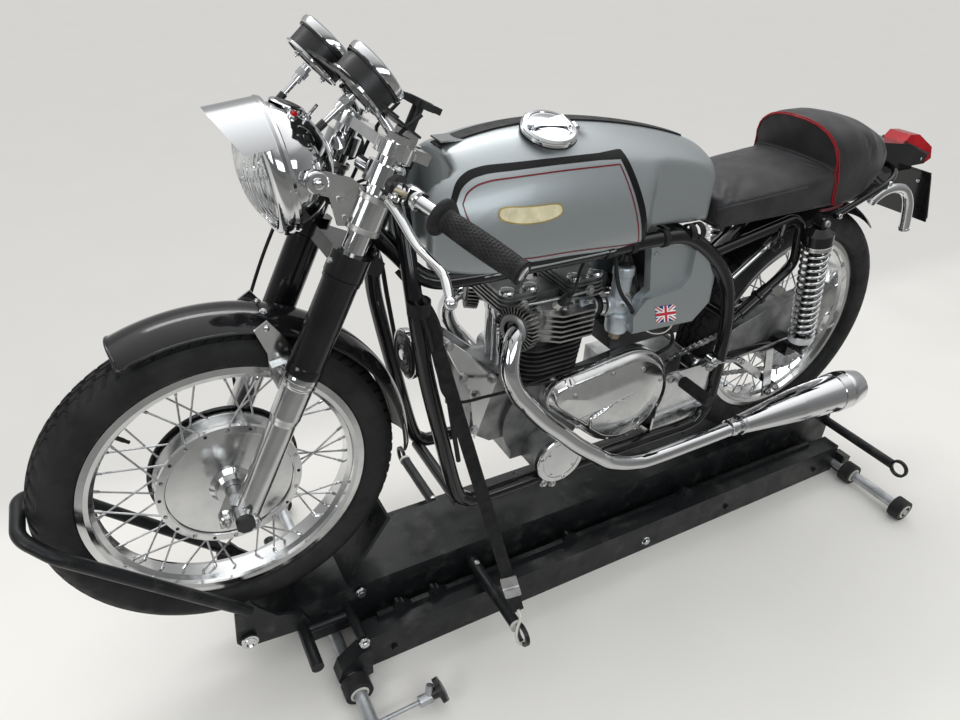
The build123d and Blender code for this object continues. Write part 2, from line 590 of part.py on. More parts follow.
def lift():
    """Low lift on four rollers, its deck down on the base."""
    floor = -DECK_H
    rail = box(-235, 1240, RAIL_Y - RAIL_W, RAIL_Y, floor, floor + RAIL_H)
    base = both(rail)
    for x in (-170, 500, 1190):
        base += box(x - 25, x + 25, -(RAIL_Y - RAIL_W), RAIL_Y - RAIL_W, floor, floor + 45)
    deck = box(-280, 1352, -DECK_HALF, DECK_HALF, -6.4, -DECK_GAP)
    deck += both(box(-280, 1352, DECK_HALF - 6, DECK_HALF, floor + 45, -6))
    ratchet = box(-150, 1200, 116, 128, -75, -61)
    for x in (1060, 1145):
        ratchet += plate_y([(x - 12, -62), (x + 12, -62), (x + 4, -44), (x - 4, -44)], 116, 128)
    # Roller brackets welded to both ends of each rail
    bracket = plate_y([
        (1240, floor + RAIL_H), (1240, floor + 14), (1268, floor + 6), (1306, floor + 6), (1316, floor + 30),
        (1306, floor + 58), (1262, floor + RAIL_H),
    ], RAIL_Y - 12, RAIL_Y + 26)
    bracket += plate_y([(-235, floor + 70), (-235, floor + 10), (-268, floor + 10), (-268, floor + 60)],
                       RAIL_Y - 12, RAIL_Y + 26)
    cross_bar = bar_y(1251, -60, DECK_HALF, RAIL_Y + 4, 11) + bar_y(1251, -60, RAIL_Y + 4, RAIL_Y + 12, 8)
    base += both(bracket + cross_bar)
    parts["lift_base"] = base + both(ratchet)
    hoop_x = FRONT_END - HOOP_R
    hoop = tube([
        (1450, HOOP_Y, 52), (1722, HOOP_Y, 336), (hoop_x, 50, 365), (hoop_x, -50, 365),
        (1722, -HOOP_Y, 336), (1450, -HOOP_Y, 52),
    ], HOOP_R, 40)
    foot = plate_y([
        (1330, -60), (1352, -6), (1400, 12), (1432, 52), (1446, 76), (1478, 70), (1486, -26), (1474, -46),
        (1440, -50),
    ], DECK_HALF, DECK_HALF + 8)
    foot += bar_y(1462, -22, DECK_HALF, DECK_HALF + 18, 12)
    parts["wheel_hoop"] = hoop + both(foot)
    cradle = plate_y([(1249.5, -4), (1146, 148), (1138, 144), (1239.5, -4)], -62, 62)
    nose = plate_y([(1340, -3), (1352, -3), (1440, -44), (1440, -52), (1340, -10)], -DECK_HALF, DECK_HALF)
    parts["lift_deck"] = deck + cradle + nose
    roller_z = floor + ROLLER_R
    tubes = []
    wheels = []
    for x in (-240, 1286):
        tubes.append(bar_y(x, roller_z, -(ROLLER_INNER_Y - 16), ROLLER_INNER_Y - 16, 14))
        tubes.append(both(bar_y(x, roller_z, ROLLER_INNER_Y + 16, ROLLER_OUTER_Y - 16, 14)))
        for y in (ROLLER_INNER_Y, ROLLER_OUTER_Y):
            half = ROLLER_W / 2
            wheels.append(both(bar_y(x, roller_z, y - half, y + half, ROLLER_R)))
    # Foot brake on the front roller: a rod back to a knob with a short lever
    brake = bar((1286, 309, roller_z), (1180, 309, roller_z + 4), 4.5)
    brake += bar((1186, 309, -131), (1158, 309, -130), 12)
    tubes[-1] = tubes[-1] + brake + bar((1166, 309, -128), (1158, 300, -104), 8)
    parts["roller_tubes"] = Compound(children=tubes) - parts["lift_base"]
    parts["rollers"] = Compound(children=wheels)
    # Arms for the tie-downs, each with a ring at its end, and the bare tube at the front
    arms = [both(bar_y(STUB_X, -60, DECK_HALF, 191, 13) + bar((STUB_X, 94, -60), (1262, 94, -60), 9))]
    for x, end in [(-260, 311), (955, 300)]:
        ring = Cylinder(RING_R + 7, 8) - Cylinder(RING_R, 12)
        ring = Pos(x, end + RING_R + 3, -40) * Rot(0, 90, 0) * ring
        arms.append(both(bar_y(x, -40, DECK_HALF, end, 13) + ring))
    parts["tie_down_arms"] = Compound(children=arms) - parts["lift_base"] - parts["wheel_hoop"]


front_wheel()
rear_wheel()
fork()
brake_plate()
front_mudguard()
headlamp()
clocks()
handlebars()
frame()
swingarm()
shocks()
crank_case()
top_end()
primary_cover()
gearbox()
carburettors()
exhausts()
tank()
seat()
tail()
small_pieces()
lift()

if __name__ == "__main__":
    os.makedirs("parts", exist_ok=True)
    for name, shape in parts.items():
        export_step(Pos(-ORIGIN_X, 0, DECK_H) * shape, f"parts/{name}.step")
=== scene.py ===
"""Cafe racer motorcycle held upright on a low roller lift.

Lengths are millimetres in the bike's own frame until at() or fork_at() turns them into metres
in the shared frame: x ahead of the rear axle, y to the rider's left, z above the lift's deck.
"""
import bpy
import bmesh
from math import atan2, cos, pi, radians, sin, sqrt
from mathutils import Matrix, Vector
from mathutils.bvhtree import BVHTree


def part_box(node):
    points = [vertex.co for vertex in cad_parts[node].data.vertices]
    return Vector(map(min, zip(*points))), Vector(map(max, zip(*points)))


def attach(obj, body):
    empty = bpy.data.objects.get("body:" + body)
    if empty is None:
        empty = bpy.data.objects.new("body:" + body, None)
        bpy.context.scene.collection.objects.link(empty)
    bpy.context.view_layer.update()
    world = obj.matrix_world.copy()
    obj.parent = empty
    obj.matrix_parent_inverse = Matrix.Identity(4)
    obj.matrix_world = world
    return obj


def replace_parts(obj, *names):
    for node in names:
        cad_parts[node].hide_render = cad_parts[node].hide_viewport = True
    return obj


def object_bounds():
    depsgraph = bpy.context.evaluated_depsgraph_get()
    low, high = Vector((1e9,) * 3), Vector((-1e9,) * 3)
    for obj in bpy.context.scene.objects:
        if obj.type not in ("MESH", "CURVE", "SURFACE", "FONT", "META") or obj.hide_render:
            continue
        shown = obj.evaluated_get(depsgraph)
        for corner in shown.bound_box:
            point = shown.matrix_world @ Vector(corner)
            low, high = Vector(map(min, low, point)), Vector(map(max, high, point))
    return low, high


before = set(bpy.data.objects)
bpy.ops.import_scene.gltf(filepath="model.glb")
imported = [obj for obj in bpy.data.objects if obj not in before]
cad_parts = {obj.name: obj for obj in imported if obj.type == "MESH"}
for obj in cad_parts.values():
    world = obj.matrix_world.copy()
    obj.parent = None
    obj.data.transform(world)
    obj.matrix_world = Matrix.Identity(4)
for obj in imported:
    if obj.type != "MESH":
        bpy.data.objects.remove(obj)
cad_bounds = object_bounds()
MM = 0.001

# Driving dimensions, worked out from the frame
rear_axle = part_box("rear_axle")
front_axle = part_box("front_axle")
floor_z = cad_bounds[0].z
REAR_AXLE_Z = 324.0
ORIGIN = Vector((
    (rear_axle[0].x + rear_axle[1].x) / 2,
    0.0,
    (rear_axle[0].z + rear_axle[1].z) / 2 - REAR_AXLE_Z * MM,
))
WHEELBASE = ((front_axle[0].x + front_axle[1].x) / 2 - ORIGIN.x) / MM
FRONT_AXLE_Z = 325.0
RAKE = radians(26.3)
FRONT_TYRE_R = 325.0
REAR_TYRE_R = 324.0
FORK_Y = 97.0
LEG_U = -11.0
STEM_U = -70.0

# The photograph: its size in pixels and the camera that took it
PHOTO_WIDTH = 960
PHOTO_HEIGHT = 720
FOCAL_PX = 721.9
CAMERA_AT = (1528.1, 1108.2, 1251.8)
CAMERA_YAW = radians(-119.47)
CAMERA_PITCH = radians(-32.49)
CAMERA_ROLL = radians(2.34)
SENSOR = 36.0

# Where the lines that look for a surface begin, and where the nearest point is sought if they miss
CLEAR_SIDE = 600
NEAR_SIDE = 140
CLEAR_ABOVE = 2000
NEAR_TOP = 900
CAMERA_REACH = 1500 * MM


def at(x, y, z):
    """Point of the bike's frame in the shared frame, in metres."""
    return ORIGIN + Vector((x, y, z)) * MM


def fork_at(u, y, t):
    """Point of the fork's frame: u ahead of the axle, t up along the legs."""
    return at(WHEELBASE + u * cos(RAKE) - t * sin(RAKE), y, FRONT_AXLE_Z + u * sin(RAKE) + t * cos(RAKE))


FORK_UP = Vector((-sin(RAKE), 0, cos(RAKE)))
FORK_AHEAD = Vector((cos(RAKE), 0, sin(RAKE)))
LEFT = Vector((0, 1, 0))
RIGHT = Vector((0, -1, 0))
UP = Vector((0, 0, 1))
AHEAD = Vector((1, 0, 0))


def camera_axes():
    """Right, up and forward of the photograph's camera."""
    forward = Vector((
        cos(CAMERA_PITCH) * cos(CAMERA_YAW), cos(CAMERA_PITCH) * sin(CAMERA_YAW), sin(CAMERA_PITCH),
    ))
    level_right = forward.cross(UP).normalized()
    level_up = level_right.cross(forward)
    right = level_right * cos(CAMERA_ROLL) + level_up * sin(CAMERA_ROLL)
    up = level_up * cos(CAMERA_ROLL) - level_right * sin(CAMERA_ROLL)
    return right, up, forward


def pixel_ray(px, py):
    """Camera position and direction through a pixel of the photograph."""
    right, up, forward = camera_axes()
    across = (px - PHOTO_WIDTH / 2) / FOCAL_PX
    down = (py - PHOTO_HEIGHT / 2) / FOCAL_PX
    return at(*CAMERA_AT), (forward + right * across - up * down).normalized()


trees = {}


def tree_of(mesh):
    """Search tree of a mesh."""
    return BVHTree.FromPolygons([v.co for v in mesh.vertices], [p.vertices for p in mesh.polygons])


def surface(node):
    """Search tree of a CAD node's surface."""
    if node not in trees:
        trees[node] = tree_of(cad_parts[node].data)
    return trees[node]


def seen_on(node, px, py):
    """Where a pixel of the photograph falls on a CAD node, in the bike's frame."""
    start, direction = pixel_ray(px, py)
    hit = surface(node).ray_cast(start, direction)[0]
    if hit is None:
        hit = surface(node).find_nearest(start + direction * CAMERA_REACH)[0]
    return (hit - ORIGIN) / MM


def from_side(node, x, z, side=1):
    """Point and normal where a line across the machine first meets a CAD node, in metres."""
    start = at(x, side * CLEAR_SIDE, z)
    hit, normal, _, _ = surface(node).ray_cast(start, Vector((0, -side, 0)))
    if hit is None:
        hit, normal, _, _ = surface(node).find_nearest(at(x, side * NEAR_SIDE, z))
    return hit, normal


def from_above(node, x, y):
    """Point and normal where a plumb line first meets a CAD node from above, in metres."""
    hit, normal, _, _ = surface(node).ray_cast(at(x, y, CLEAR_ABOVE), Vector((0, 0, -1)))
    if hit is None:
        hit, normal, _, _ = surface(node).find_nearest(at(x, y, NEAR_TOP))
    return hit, normal


# Materials

PLAIN_GRAIN = 40.0


def new_material(name, colour, metallic=0.0, rough=0.5, **sockets):
    """Principled material; sockets are set on the shader itself."""
    material = bpy.data.materials.new(name)
    material.use_nodes = True
    shader = material.node_tree.nodes["Principled BSDF"]
    shader.inputs["Base Color"].default_value = (*colour, 1.0)
    shader.inputs["Metallic"].default_value = metallic
    shader.inputs["Roughness"].default_value = rough
    for socket, value in sockets.items():
        shader.inputs[socket.replace("_", " ")].default_value = value
    return material


def add_node(material, kind, **values):
    node = material.node_tree.nodes.new(kind)
    for key, value in values.items():
        if key in node.inputs:
            node.inputs[key].default_value = value
        else:
            setattr(node, key, value)
    return node


def link(material, source, target):
    material.node_tree.links.new(source, target)


def coordinates(material, stretch=(1, 1, 1)):
    """Object coordinates in metres, stretched along the axes."""
    source = add_node(material, "ShaderNodeTexCoord")
    mapping = add_node(material, "ShaderNodeMapping", Scale=stretch)
    link(material, source.outputs["Object"], mapping.inputs["Vector"])
    return mapping.outputs["Vector"]


def grain(material, scale, detail=4.0, stretch=(1, 1, 1), kind="ShaderNodeTexNoise"):
    """Noise or Voronoi texture in object space."""
    texture = add_node(material, kind, Scale=scale)
    if "Detail" in texture.inputs:
        texture.inputs["Detail"].default_value = detail
    link(material, coordinates(material, stretch), texture.inputs["Vector"])
    return texture.outputs[0]


def vary_roughness(material, low, high, scale, detail=4.0, stretch=(1, 1, 1)):
    spread = add_node(material, "ShaderNodeMapRange")
    spread.inputs["From Min"].default_value = 0.3
    spread.inputs["From Max"].default_value = 0.7
    spread.inputs["To Min"].default_value = low
    spread.inputs["To Max"].default_value = high
    link(material, grain(material, scale, detail, stretch), spread.inputs["Value"])
    shader = material.node_tree.nodes["Principled BSDF"]
    link(material, spread.outputs["Result"], shader.inputs["Roughness"])


def vary_colour(material, first, second, scale, low=0.35, high=0.65, detail=5.0, stretch=(1, 1, 1)):
    ramp = add_node(material, "ShaderNodeValToRGB")
    ramp.color_ramp.elements[0].position = low
    ramp.color_ramp.elements[0].color = (*first, 1.0)
    ramp.color_ramp.elements[1].position = high
    ramp.color_ramp.elements[1].color = (*second, 1.0)
    link(material, grain(material, scale, detail, stretch), ramp.inputs["Fac"])
    shader = material.node_tree.nodes["Principled BSDF"]
    link(material, ramp.outputs["Color"], shader.inputs["Base Color"])


def add_bump(material, height, strength, distance):
    """Bump from a texture's value; several are chained."""
    shader = material.node_tree.nodes["Principled BSDF"]
    bump = add_node(material, "ShaderNodeBump", Strength=strength, Distance=distance)
    link(material, height, bump.inputs["Height"])
    earlier = shader.inputs["Normal"].links
    if earlier:
        link(material, earlier[0].from_socket, bump.inputs["Normal"])
    link(material, bump.outputs["Normal"], shader.inputs["Normal"])


def paint_crevice_shade(material, reach, depth):
    """Painted shade between fins and in corners: the colour falls off where a surface is shut in."""
    shade = add_node(material, "ShaderNodeAmbientOcclusion", Distance=reach)
    shade.samples = 6
    spread = add_node(material, "ShaderNodeMapRange")
    spread.inputs["From Min"].default_value = 0.15
    spread.inputs["From Max"].default_value = 0.85
    spread.inputs["To Min"].default_value = 1.0 - depth
    link(material, shade.outputs["AO"], spread.inputs["Value"])
    tint = add_node(material, "ShaderNodeVectorMath", operation="MULTIPLY")
    shader = material.node_tree.nodes["Principled BSDF"]
    link(material, shader.inputs["Base Color"].links[0].from_socket, tint.inputs[0])
    link(material, spread.outputs["Result"], tint.inputs[1])
    link(material, tint.outputs["Vector"], shader.inputs["Base Color"])


def add_flutes(material, scale, along, strength, distance, distortion=0.0):
    """Even ribs: a wave across the surface as a bump."""
    wave = add_node(material, "ShaderNodeTexWave", Scale=scale, Distortion=distortion)
    wave.bands_direction = along
    link(material, coordinates(material), wave.inputs["Vector"])
    add_bump(material, wave.outputs["Fac"], strength, distance)


def make_finish(name, colour, metallic, rough, gloss=None, tone=None, bumps=(), crevice_shade=None, **sockets):
    """Finish with varied gloss and tone; bumps are (grain settings, strength, distance)."""
    material = new_material(name, colour, metallic, rough, **sockets)
    if gloss:
        vary_roughness(material, *gloss)
    if tone:
        vary_colour(material, *tone)
    for grain_settings, strength, distance in bumps:
        add_bump(material, grain(material, *grain_settings), strength, distance)
    # Painted shade: the colour darkens in crevices
    if crevice_shade:
        paint_crevice_shade(material, *crevice_shade)
    return material


def make_plain(name, colour, metallic=0.0, rough=0.4, **sockets):
    """Simple moulded or painted finish with a little variation in tone and gloss."""
    material = new_material(name, colour, metallic, rough, **sockets)
    darker = tuple(c * 0.82 for c in colour)
    lighter = tuple(min(1.0, c * 1.12) for c in colour)
    vary_colour(material, darker, lighter, PLAIN_GRAIN)
    vary_roughness(material, rough * 0.8, min(1.0, rough * 1.25), PLAIN_GRAIN * 1.7)
    return material


CELLS = (4.0, (1, 1, 1), "ShaderNodeTexVoronoi")
CLEAR = {"Transmission_Weight": 1.0, "IOR": 1.45}
SOFT_SHEEN = {"Specular_IOR_Level": 0.28}

chrome = make_finish(
    "chrome_plate", (0.70, 0.71, 0.72), 1.0, 0.06, gloss=(0.03, 0.11, 35.0),
    bumps=[((18.0, 2.0), 0.04, 0.002)],
)
polished = make_finish(
    "polished_alloy", (0.70, 0.71, 0.71), 1.0, 0.14, gloss=(0.09, 0.22, 60.0),
    tone=((0.64, 0.65, 0.65), (0.76, 0.76, 0.76), 14.0), bumps=[((900.0, 2.0, (1, 1, 0.05)), 0.05, 0.0003)],
)
satin_alloy = make_finish(
    "satin_alloy", (0.66, 0.66, 0.64), 1.0, 0.34, gloss=(0.28, 0.44, 45.0),
    tone=((0.40, 0.40, 0.39), (0.60, 0.60, 0.58), 18.0), bumps=[((700.0, 3.0), 0.12, 0.0004)],
    # painted shade in crevices
    crevice_shade=(0.030, 0.62),
)
cast_alloy = make_finish(
    "cast_alloy", (0.52, 0.52, 0.50), 1.0, 0.45, gloss=(0.38, 0.55, 30.0),
    tone=((0.20, 0.20, 0.20), (0.42, 0.43, 0.43), 22.0, 0.28, 0.6), bumps=[((1100.0, 3.0), 0.25, 0.0006)],
    # painted shade in crevices
    crevice_shade=(0.020, 0.55),
)
steel = make_finish(
    "zinc_plated_steel", (0.52, 0.52, 0.53), 1.0, 0.32, gloss=(0.22, 0.45, 80.0),
    tone=((0.40, 0.40, 0.40), (0.62, 0.62, 0.63), 40.0),
)
dull_tube = make_finish(
    "galvanised_tube", (0.48, 0.50, 0.52), 0.8, 0.4, gloss=(0.3, 0.5, 60.0),
    tone=((0.36, 0.38, 0.40), (0.58, 0.60, 0.62), 30.0),
)
gloss_black = make_finish(
    "gloss_black_paint", (0.008, 0.008, 0.009), 0.0, 0.10, gloss=(0.05, 0.16, 25.0),
    tone=((0.006, 0.006, 0.007), (0.014, 0.014, 0.015), 9.0, 0.4, 0.75), bumps=[((160.0, 1.0), 0.04, 0.0006)],
)
lift_black = make_finish(
    "lift_black_paint", (0.016, 0.017, 0.018), 0.0, 0.32, gloss=(0.22, 0.52, 22.0),
    tone=((0.010, 0.011, 0.012), (0.050, 0.048, 0.046), 26.0, 0.55, 0.82, 8.0),
    bumps=[((220.0, 3.0), 0.12, 0.0006)], Specular_IOR_Level=0.32,
)
barrel_black = make_finish(
    "barrel_black", (0.018, 0.018, 0.018), 0.0, 0.46,
    tone=((0.012, 0.012, 0.012), (0.045, 0.044, 0.042), 30.0, 0.4, 0.8), bumps=[((900.0, 3.0), 0.3, 0.0005)],
)
silver = make_finish(
    "silver_paint", (0.37, 0.40, 0.41), 0.70, 0.38,
    tone=((0.34, 0.37, 0.38), (0.40, 0.43, 0.44), 5000.0, 0.35, 0.65, 1.0),
    bumps=[((3500.0, *CELLS), 0.05, 0.0001)], Coat_Weight=0.35, Coat_Roughness=0.05,
)
tyre_rubber = make_finish(
    "tyre_rubber", (0.020, 0.020, 0.021), 0.0, 0.62, gloss=(0.50, 0.78, 40.0),
    tone=((0.010, 0.010, 0.011), (0.022, 0.022, 0.022), 12.0), bumps=[((1500.0, 3.0), 0.2, 0.0003)],
    **SOFT_SHEEN,
)
rubber = make_finish(
    "black_rubber", (0.018, 0.018, 0.019), 0.0, 0.55, gloss=(0.42, 0.65, 60.0),
    tone=((0.009, 0.009, 0.010), (0.020, 0.020, 0.020), 35.0), bumps=[((1200.0, 3.0), 0.2, 0.0003)],
    **SOFT_SHEEN,
)
leather = make_finish(
    "black_leather", (0.022, 0.022, 0.023), 0.0, 0.42, gloss=(0.36, 0.55, 30.0),
    tone=((0.013, 0.013, 0.014), (0.026, 0.026, 0.028), 16.0),
    bumps=[((420.0, *CELLS), 0.35, 0.0005), ((60.0, 6.0), 0.15, 0.0012)], Sheen_Weight=0.12, **SOFT_SHEEN,
)
webbing = make_finish(
    "black_webbing", (0.014, 0.014, 0.015), 0.0, 0.72,
    tone=((0.010, 0.010, 0.011), (0.026, 0.026, 0.027), 60.0), Sheen_Weight=0.2, **SOFT_SHEEN,
)
add_flutes(webbing, 320.0, "Z", 0.5, 0.0006, 0.6)
lens_red = make_finish(
    "red_lens", (0.42, 0.004, 0.010), 0.0, 0.16,
    tone=((0.34, 0.003, 0.008), (0.50, 0.008, 0.016), 26.0), Specular_IOR_Level=0.18,
)
add_flutes(lens_red, 55.0, "Y", 0.25, 0.001)
glass = make_finish("clear_glass", (0.96, 0.98, 0.98), 0.0, 0.02, bumps=[((12.0, 1.0), 0.02, 0.001)], **CLEAR)
fluted_glass = make_finish("fluted_glass", (0.95, 0.97, 0.97), 0.0, 0.05, **CLEAR)
add_flutes(fluted_glass, 42.0, "Y", 0.6, 0.003)
piping_red = make_plain("red_piping", (0.27, 0.008, 0.014), rough=0.5, Specular_IOR_Level=0.25)
coach_black = make_plain("coach_black", (0.006, 0.006, 0.007), rough=0.35, Specular_IOR_Level=0.2)
coach_red = make_plain("coach_red", (0.16, 0.010, 0.018), rough=0.2)
badge_cream = make_plain("badge_cream", (0.66, 0.60, 0.40), rough=0.3)
badge_gold = make_plain("badge_gold", (0.45, 0.34, 0.10), 0.4, 0.35)
flag_red = make_plain("flag_red", (0.50, 0.01, 0.03), rough=0.35)
flag_white = make_plain("flag_white", (0.80, 0.80, 0.80), rough=0.35)
flag_blue = make_plain("flag_blue", (0.010, 0.025, 0.20), rough=0.35)
carb_alloy = make_plain("carb_alloy", (0.56, 0.61, 0.65), 0.7, 0.40)
brass = make_plain("brass", (0.50, 0.44, 0.32), 1.0, 0.34)
dark_plastic = make_plain("dark_plastic", (0.016, 0.016, 0.017), rough=0.38)
white_plastic = make_plain("white_plastic", (0.62, 0.61, 0.57), rough=0.4)
dial_face = make_plain("dial_face", (0.02, 0.02, 0.02), rough=0.3)
dial_marks = make_plain("dial_marks", (0.75, 0.75, 0.72), rough=0.4)

# Finish of each CAD node that stays in view
finishes = {
    polished: [
        "front_rim", "rear_rim", "front_hub", "primary_cover", "mudguard_stays",
        "fork_sliders", "engine_plates", "top_yoke", "headlamp_brackets",
    ],
    satin_alloy: ["rear_hub", "cylinder_head"],
    cast_alloy: ["carburettors", "crankcase", "gearbox", "rocker_boxes"],
    barrel_black: ["cylinder_barrel"],
    chrome: [
        "fork_stanchions", "headlamp_body", "clip_on_bars", "exhaust_pipes", "silencers", "filler_cap",
        "shock_springs", "tail_stays",
    ],
    steel: ["front_spokes", "rear_spokes", "rear_sprocket", "front_axle", "rear_axle", "drive_chain"],
    dull_tube: ["roller_tubes"],
    silver: ["fuel_tank", "side_panels"],
    gloss_black: [
        "frame", "swingarm", "fork_covers", "bottom_yoke", "front_mudguard", "rear_mudguard", "tail_bracket",
        "rear_shocks", "front_brake_plate", "seat_rails",
    ],
    lift_black: ["lift_base", "lift_deck", "wheel_hoop", "tie_down_arms"],
    dark_plastic: ["clocks", "damper_knob", "horn"],
    rubber: ["tank_strap", "footrests", "rollers", "grips"],
    lens_red: ["tail_lamp"],
    glass: ["clock_faces"],
    fluted_glass: ["headlamp_glass"],
    tyre_rubber: ["front_tyre", "rear_tyre"],
    leather: ["seat"],
}


def finish_cad_nodes():
    for material, names in finishes.items():
        for name in names:
            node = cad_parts[name]
            for material_slot in node.material_slots:
                material_slot.link = "OBJECT"
                material_slot.material = material


finish_cad_nodes()


# Mesh building

SHARP_ANGLE = radians(32)
BEVEL_ANGLE = radians(40)
SIDE_SIGNS = (1, -1)
SIDES = ((1, "left"), (-1, "right"))


def add_object(name, data, material, body):
    """Puts a finished mesh or curve on a body, with its material."""
    data.materials.append(material)
    piece = bpy.data.objects.new(name, data)
    bpy.context.scene.collection.objects.link(piece)
    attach(piece, body)
    return piece


def mesh_from(name, bm, sharp=SHARP_ANGLE):
    """Mesh with smooth faces and sharp edges where the surface turns quickly."""
    bmesh.ops.recalc_face_normals(bm, faces=bm.faces)
    for edge in bm.edges:
        turns = len(edge.link_faces) == 2 and edge.calc_face_angle(0) > sharp
        edge.smooth = not turns
    for face in bm.faces:
        face.smooth = True
    mesh = bpy.data.meshes.new(name)
    bm.to_mesh(mesh)
    bm.free()
    return mesh


def add_mesh(name, bm, material, body, sharp=SHARP_ANGLE):
    """Puts what has been built so far on a body as one piece."""
    return add_object(name, mesh_from(name, bm, sharp), material, body)


def sideways(side_sign):
    """Direction out of the machine to its left, 1, or its right, -1."""
    return Vector((0, side_sign, 0))


def on_plane(origin, across, up):
    """Matrix that lays a flat shape through a point, along two directions."""
    return Matrix.Translation(origin) @ Matrix((across, up, across.cross(up))).transposed().to_4x4()


def join_rows(bm, rows, closed=True):
    """Faces between rows of as many vertices; in closed rows the last one joins the first."""
    for a, b in zip(rows, rows[1:]):
        for k in range(len(a) if closed else len(a) - 1):
            after = (k + 1) % len(a)
            bm.faces.new((a[k], a[after], b[after], b[k]))


def axes_along(origin, direction, hint=UP):
    """Matrix that stands a shape drawn along +Z on a point, along a direction."""
    z = direction.normalized()
    if abs(z.dot(hint)) > 0.99:
        hint = AHEAD
    x = hint.cross(z).normalized()
    y = z.cross(x)
    return Matrix.Translation(origin) @ Matrix((x, y, z)).transposed().to_4x4()


def lathe(bm, profile, place, segments=32):
    """Adds a turned shape: profile is (radius, height) in millimetres along the local Z."""
    rings = []
    for radius, height in profile:
        if radius < 1e-4:
            rings.append([bm.verts.new(place @ Vector((0, 0, height * MM)))])
            continue
        ring = []
        for k in range(segments):
            angle = 2 * pi * k / segments
            ring.append(bm.verts.new(place @ Vector((
                radius * MM * cos(angle), radius * MM * sin(angle), height * MM,
            ))))
        rings.append(ring)
    for lower, upper in zip(rings, rings[1:]):
        for k in range(segments):
            after = (k + 1) % segments
            if len(lower) == 1 and len(upper) == 1:
                continue
            if len(lower) == 1:
                bm.faces.new((lower[0], upper[after], upper[k]))
            elif len(upper) == 1:
                bm.faces.new((lower[k], lower[after], upper[0]))
            else:
                bm.faces.new((lower[k], lower[after], upper[after], upper[k]))


def add_lathe(name, profile, origin, direction, material, body, segments=48):
    """One turned piece on a point, along a direction."""
    bm = bmesh.new()
    lathe(bm, profile, axes_along(origin, direction), segments)
    return add_mesh(name, bm, material, body)


def prism(bm, outline, place, height):
    """Adds an upright prism; outline is (x, y) in millimetres in the local frame."""
    low = [bm.verts.new(place @ Vector((x * MM, y * MM, 0))) for x, y in outline]
    high = [bm.verts.new(place @ Vector((x * MM, y * MM, height * MM))) for x, y in outline]
    bm.faces.new(list(reversed(low)))
    bm.faces.new(high)
    join_rows(bm, (low, high))


def bevelled(bm, width, segments=2):
    """Rounds the sharp edges of what has been built so far."""
    edges = [e for e in bm.edges if len(e.link_faces) == 2 and e.calc_face_angle(0) > BEVEL_ANGLE]
    bmesh.ops.bevel(
        bm, geom=edges, offset=width * MM, segments=segments, profile=0.6, affect="EDGES",
        clamp_overlap=True,
    )


def add_plate(name, outline, origin, across, up, thick, material, body, bevel=0.6):
    """Flat plate: outline in millimetres along two directions from a point, thick along their normal."""
    bm = bmesh.new()
    prism(bm, outline, on_plane(origin, across, up), thick)
    if bevel:
        bevelled(bm, bevel)
    return add_mesh(name, bm, material, body)


def add_block(name, low, high, material, body, bevel):
    """Rounded block between two corners of the bike's frame."""
    bm = bmesh.new()
    centre = (Vector(low) + Vector(high)) / 2
    size = Vector(high) - Vector(low)
    stretched = Matrix.Translation(centre * MM) @ Matrix.Diagonal((*(size * MM), 1))
    bmesh.ops.create_cube(bm, size=1.0, matrix=Matrix.Translation(ORIGIN) @ stretched)
    bevelled(bm, bevel, 3)
    return add_mesh(name, bm, material, body)


def hexagon(radius):
    """Corners of a hexagon."""
    return [(radius * cos(radians(60 * k)), radius * sin(radians(60 * k))) for k in range(6)]


def fastener(bm, origin, direction, radius, kind):
    """Adds a washer with a hexagon head, a domed screw or a slotted screw."""
    place = axes_along(origin, direction)
    if kind == "hex":
        lathe(bm, [(0, 0), (radius * 1.35, 0), (radius * 1.35, radius * 0.22), (0, radius * 0.22)], place, 20)
        lifted = place @ Matrix.Translation((0, 0, radius * 0.2 * MM))
        prism(bm, hexagon(radius * 1.08), lifted, radius * 0.75)
        top = place @ Matrix.Translation((0, 0, radius * 0.9 * MM))
        lathe(bm, [(radius * 0.92, 0), (radius * 0.8, radius * 0.14), (0, radius * 0.16)], top, 12)
    elif kind == "stud":
        lathe(bm, [(0, 0), (radius * 1.3, 0), (radius * 1.3, radius * 0.2), (0, radius * 0.2)], place, 20)
        prism(bm, hexagon(radius * 1.08), place, radius * 1.0)
        lathe(bm, [(radius * 0.55, radius), (radius * 0.55, radius * 1.9), (0, radius * 2.0)], place, 12)
    elif kind == "dome":
        lathe(
            bm,
            [
                (radius, 0), (radius, radius * 0.3), (radius * 0.86, radius * 0.62),
                (radius * 0.5, radius * 0.82), (0, radius * 0.88),
            ],
            place, 20,
        )
    else:
        lathe(
            bm,
            [
                (radius, 0), (radius, radius * 0.35), (radius * 0.8, radius * 0.55),
                (radius * 0.62, radius * 0.56), (radius * 0.5, radius * 0.25), (0, radius * 0.25),
            ],
            place, 18,
        )


def add_fasteners(name, sites, radius, material, body, kind="hex"):
    """One piece for a set of like fasteners: sites are (point, direction)."""
    bm = bmesh.new()
    for origin, direction in sites:
        fastener(bm, origin, direction, radius, kind)
    return add_mesh(name, bm, material, body)


def add_tube(name, points, radius, material, body, closed=False, resolution=8):
    """Smooth round tube through points, in metres."""
    curve = bpy.data.curves.new(name, "CURVE")
    curve.dimensions = "3D"
    curve.bevel_depth = radius * MM
    curve.bevel_resolution = 3
    curve.resolution_u = resolution
    curve.use_fill_caps = True
    spline = curve.splines.new("BEZIER")
    spline.bezier_points.add(len(points) - 1)
    for point, place in zip(spline.bezier_points, points):
        point.co = place
        point.handle_left_type = "AUTO"
        point.handle_right_type = "AUTO"
    spline.use_cyclic_u = closed
    return add_object(name, curve, material, body)


def add_pipe(name, points, radius, material, body, steps=8):
    """Tube through points of the bike's frame, with every bend drawn out."""
    line = [at(*p) for p in smooth_path(points, steps)]
    return add_tube(name, line, radius, material, body, resolution=1)


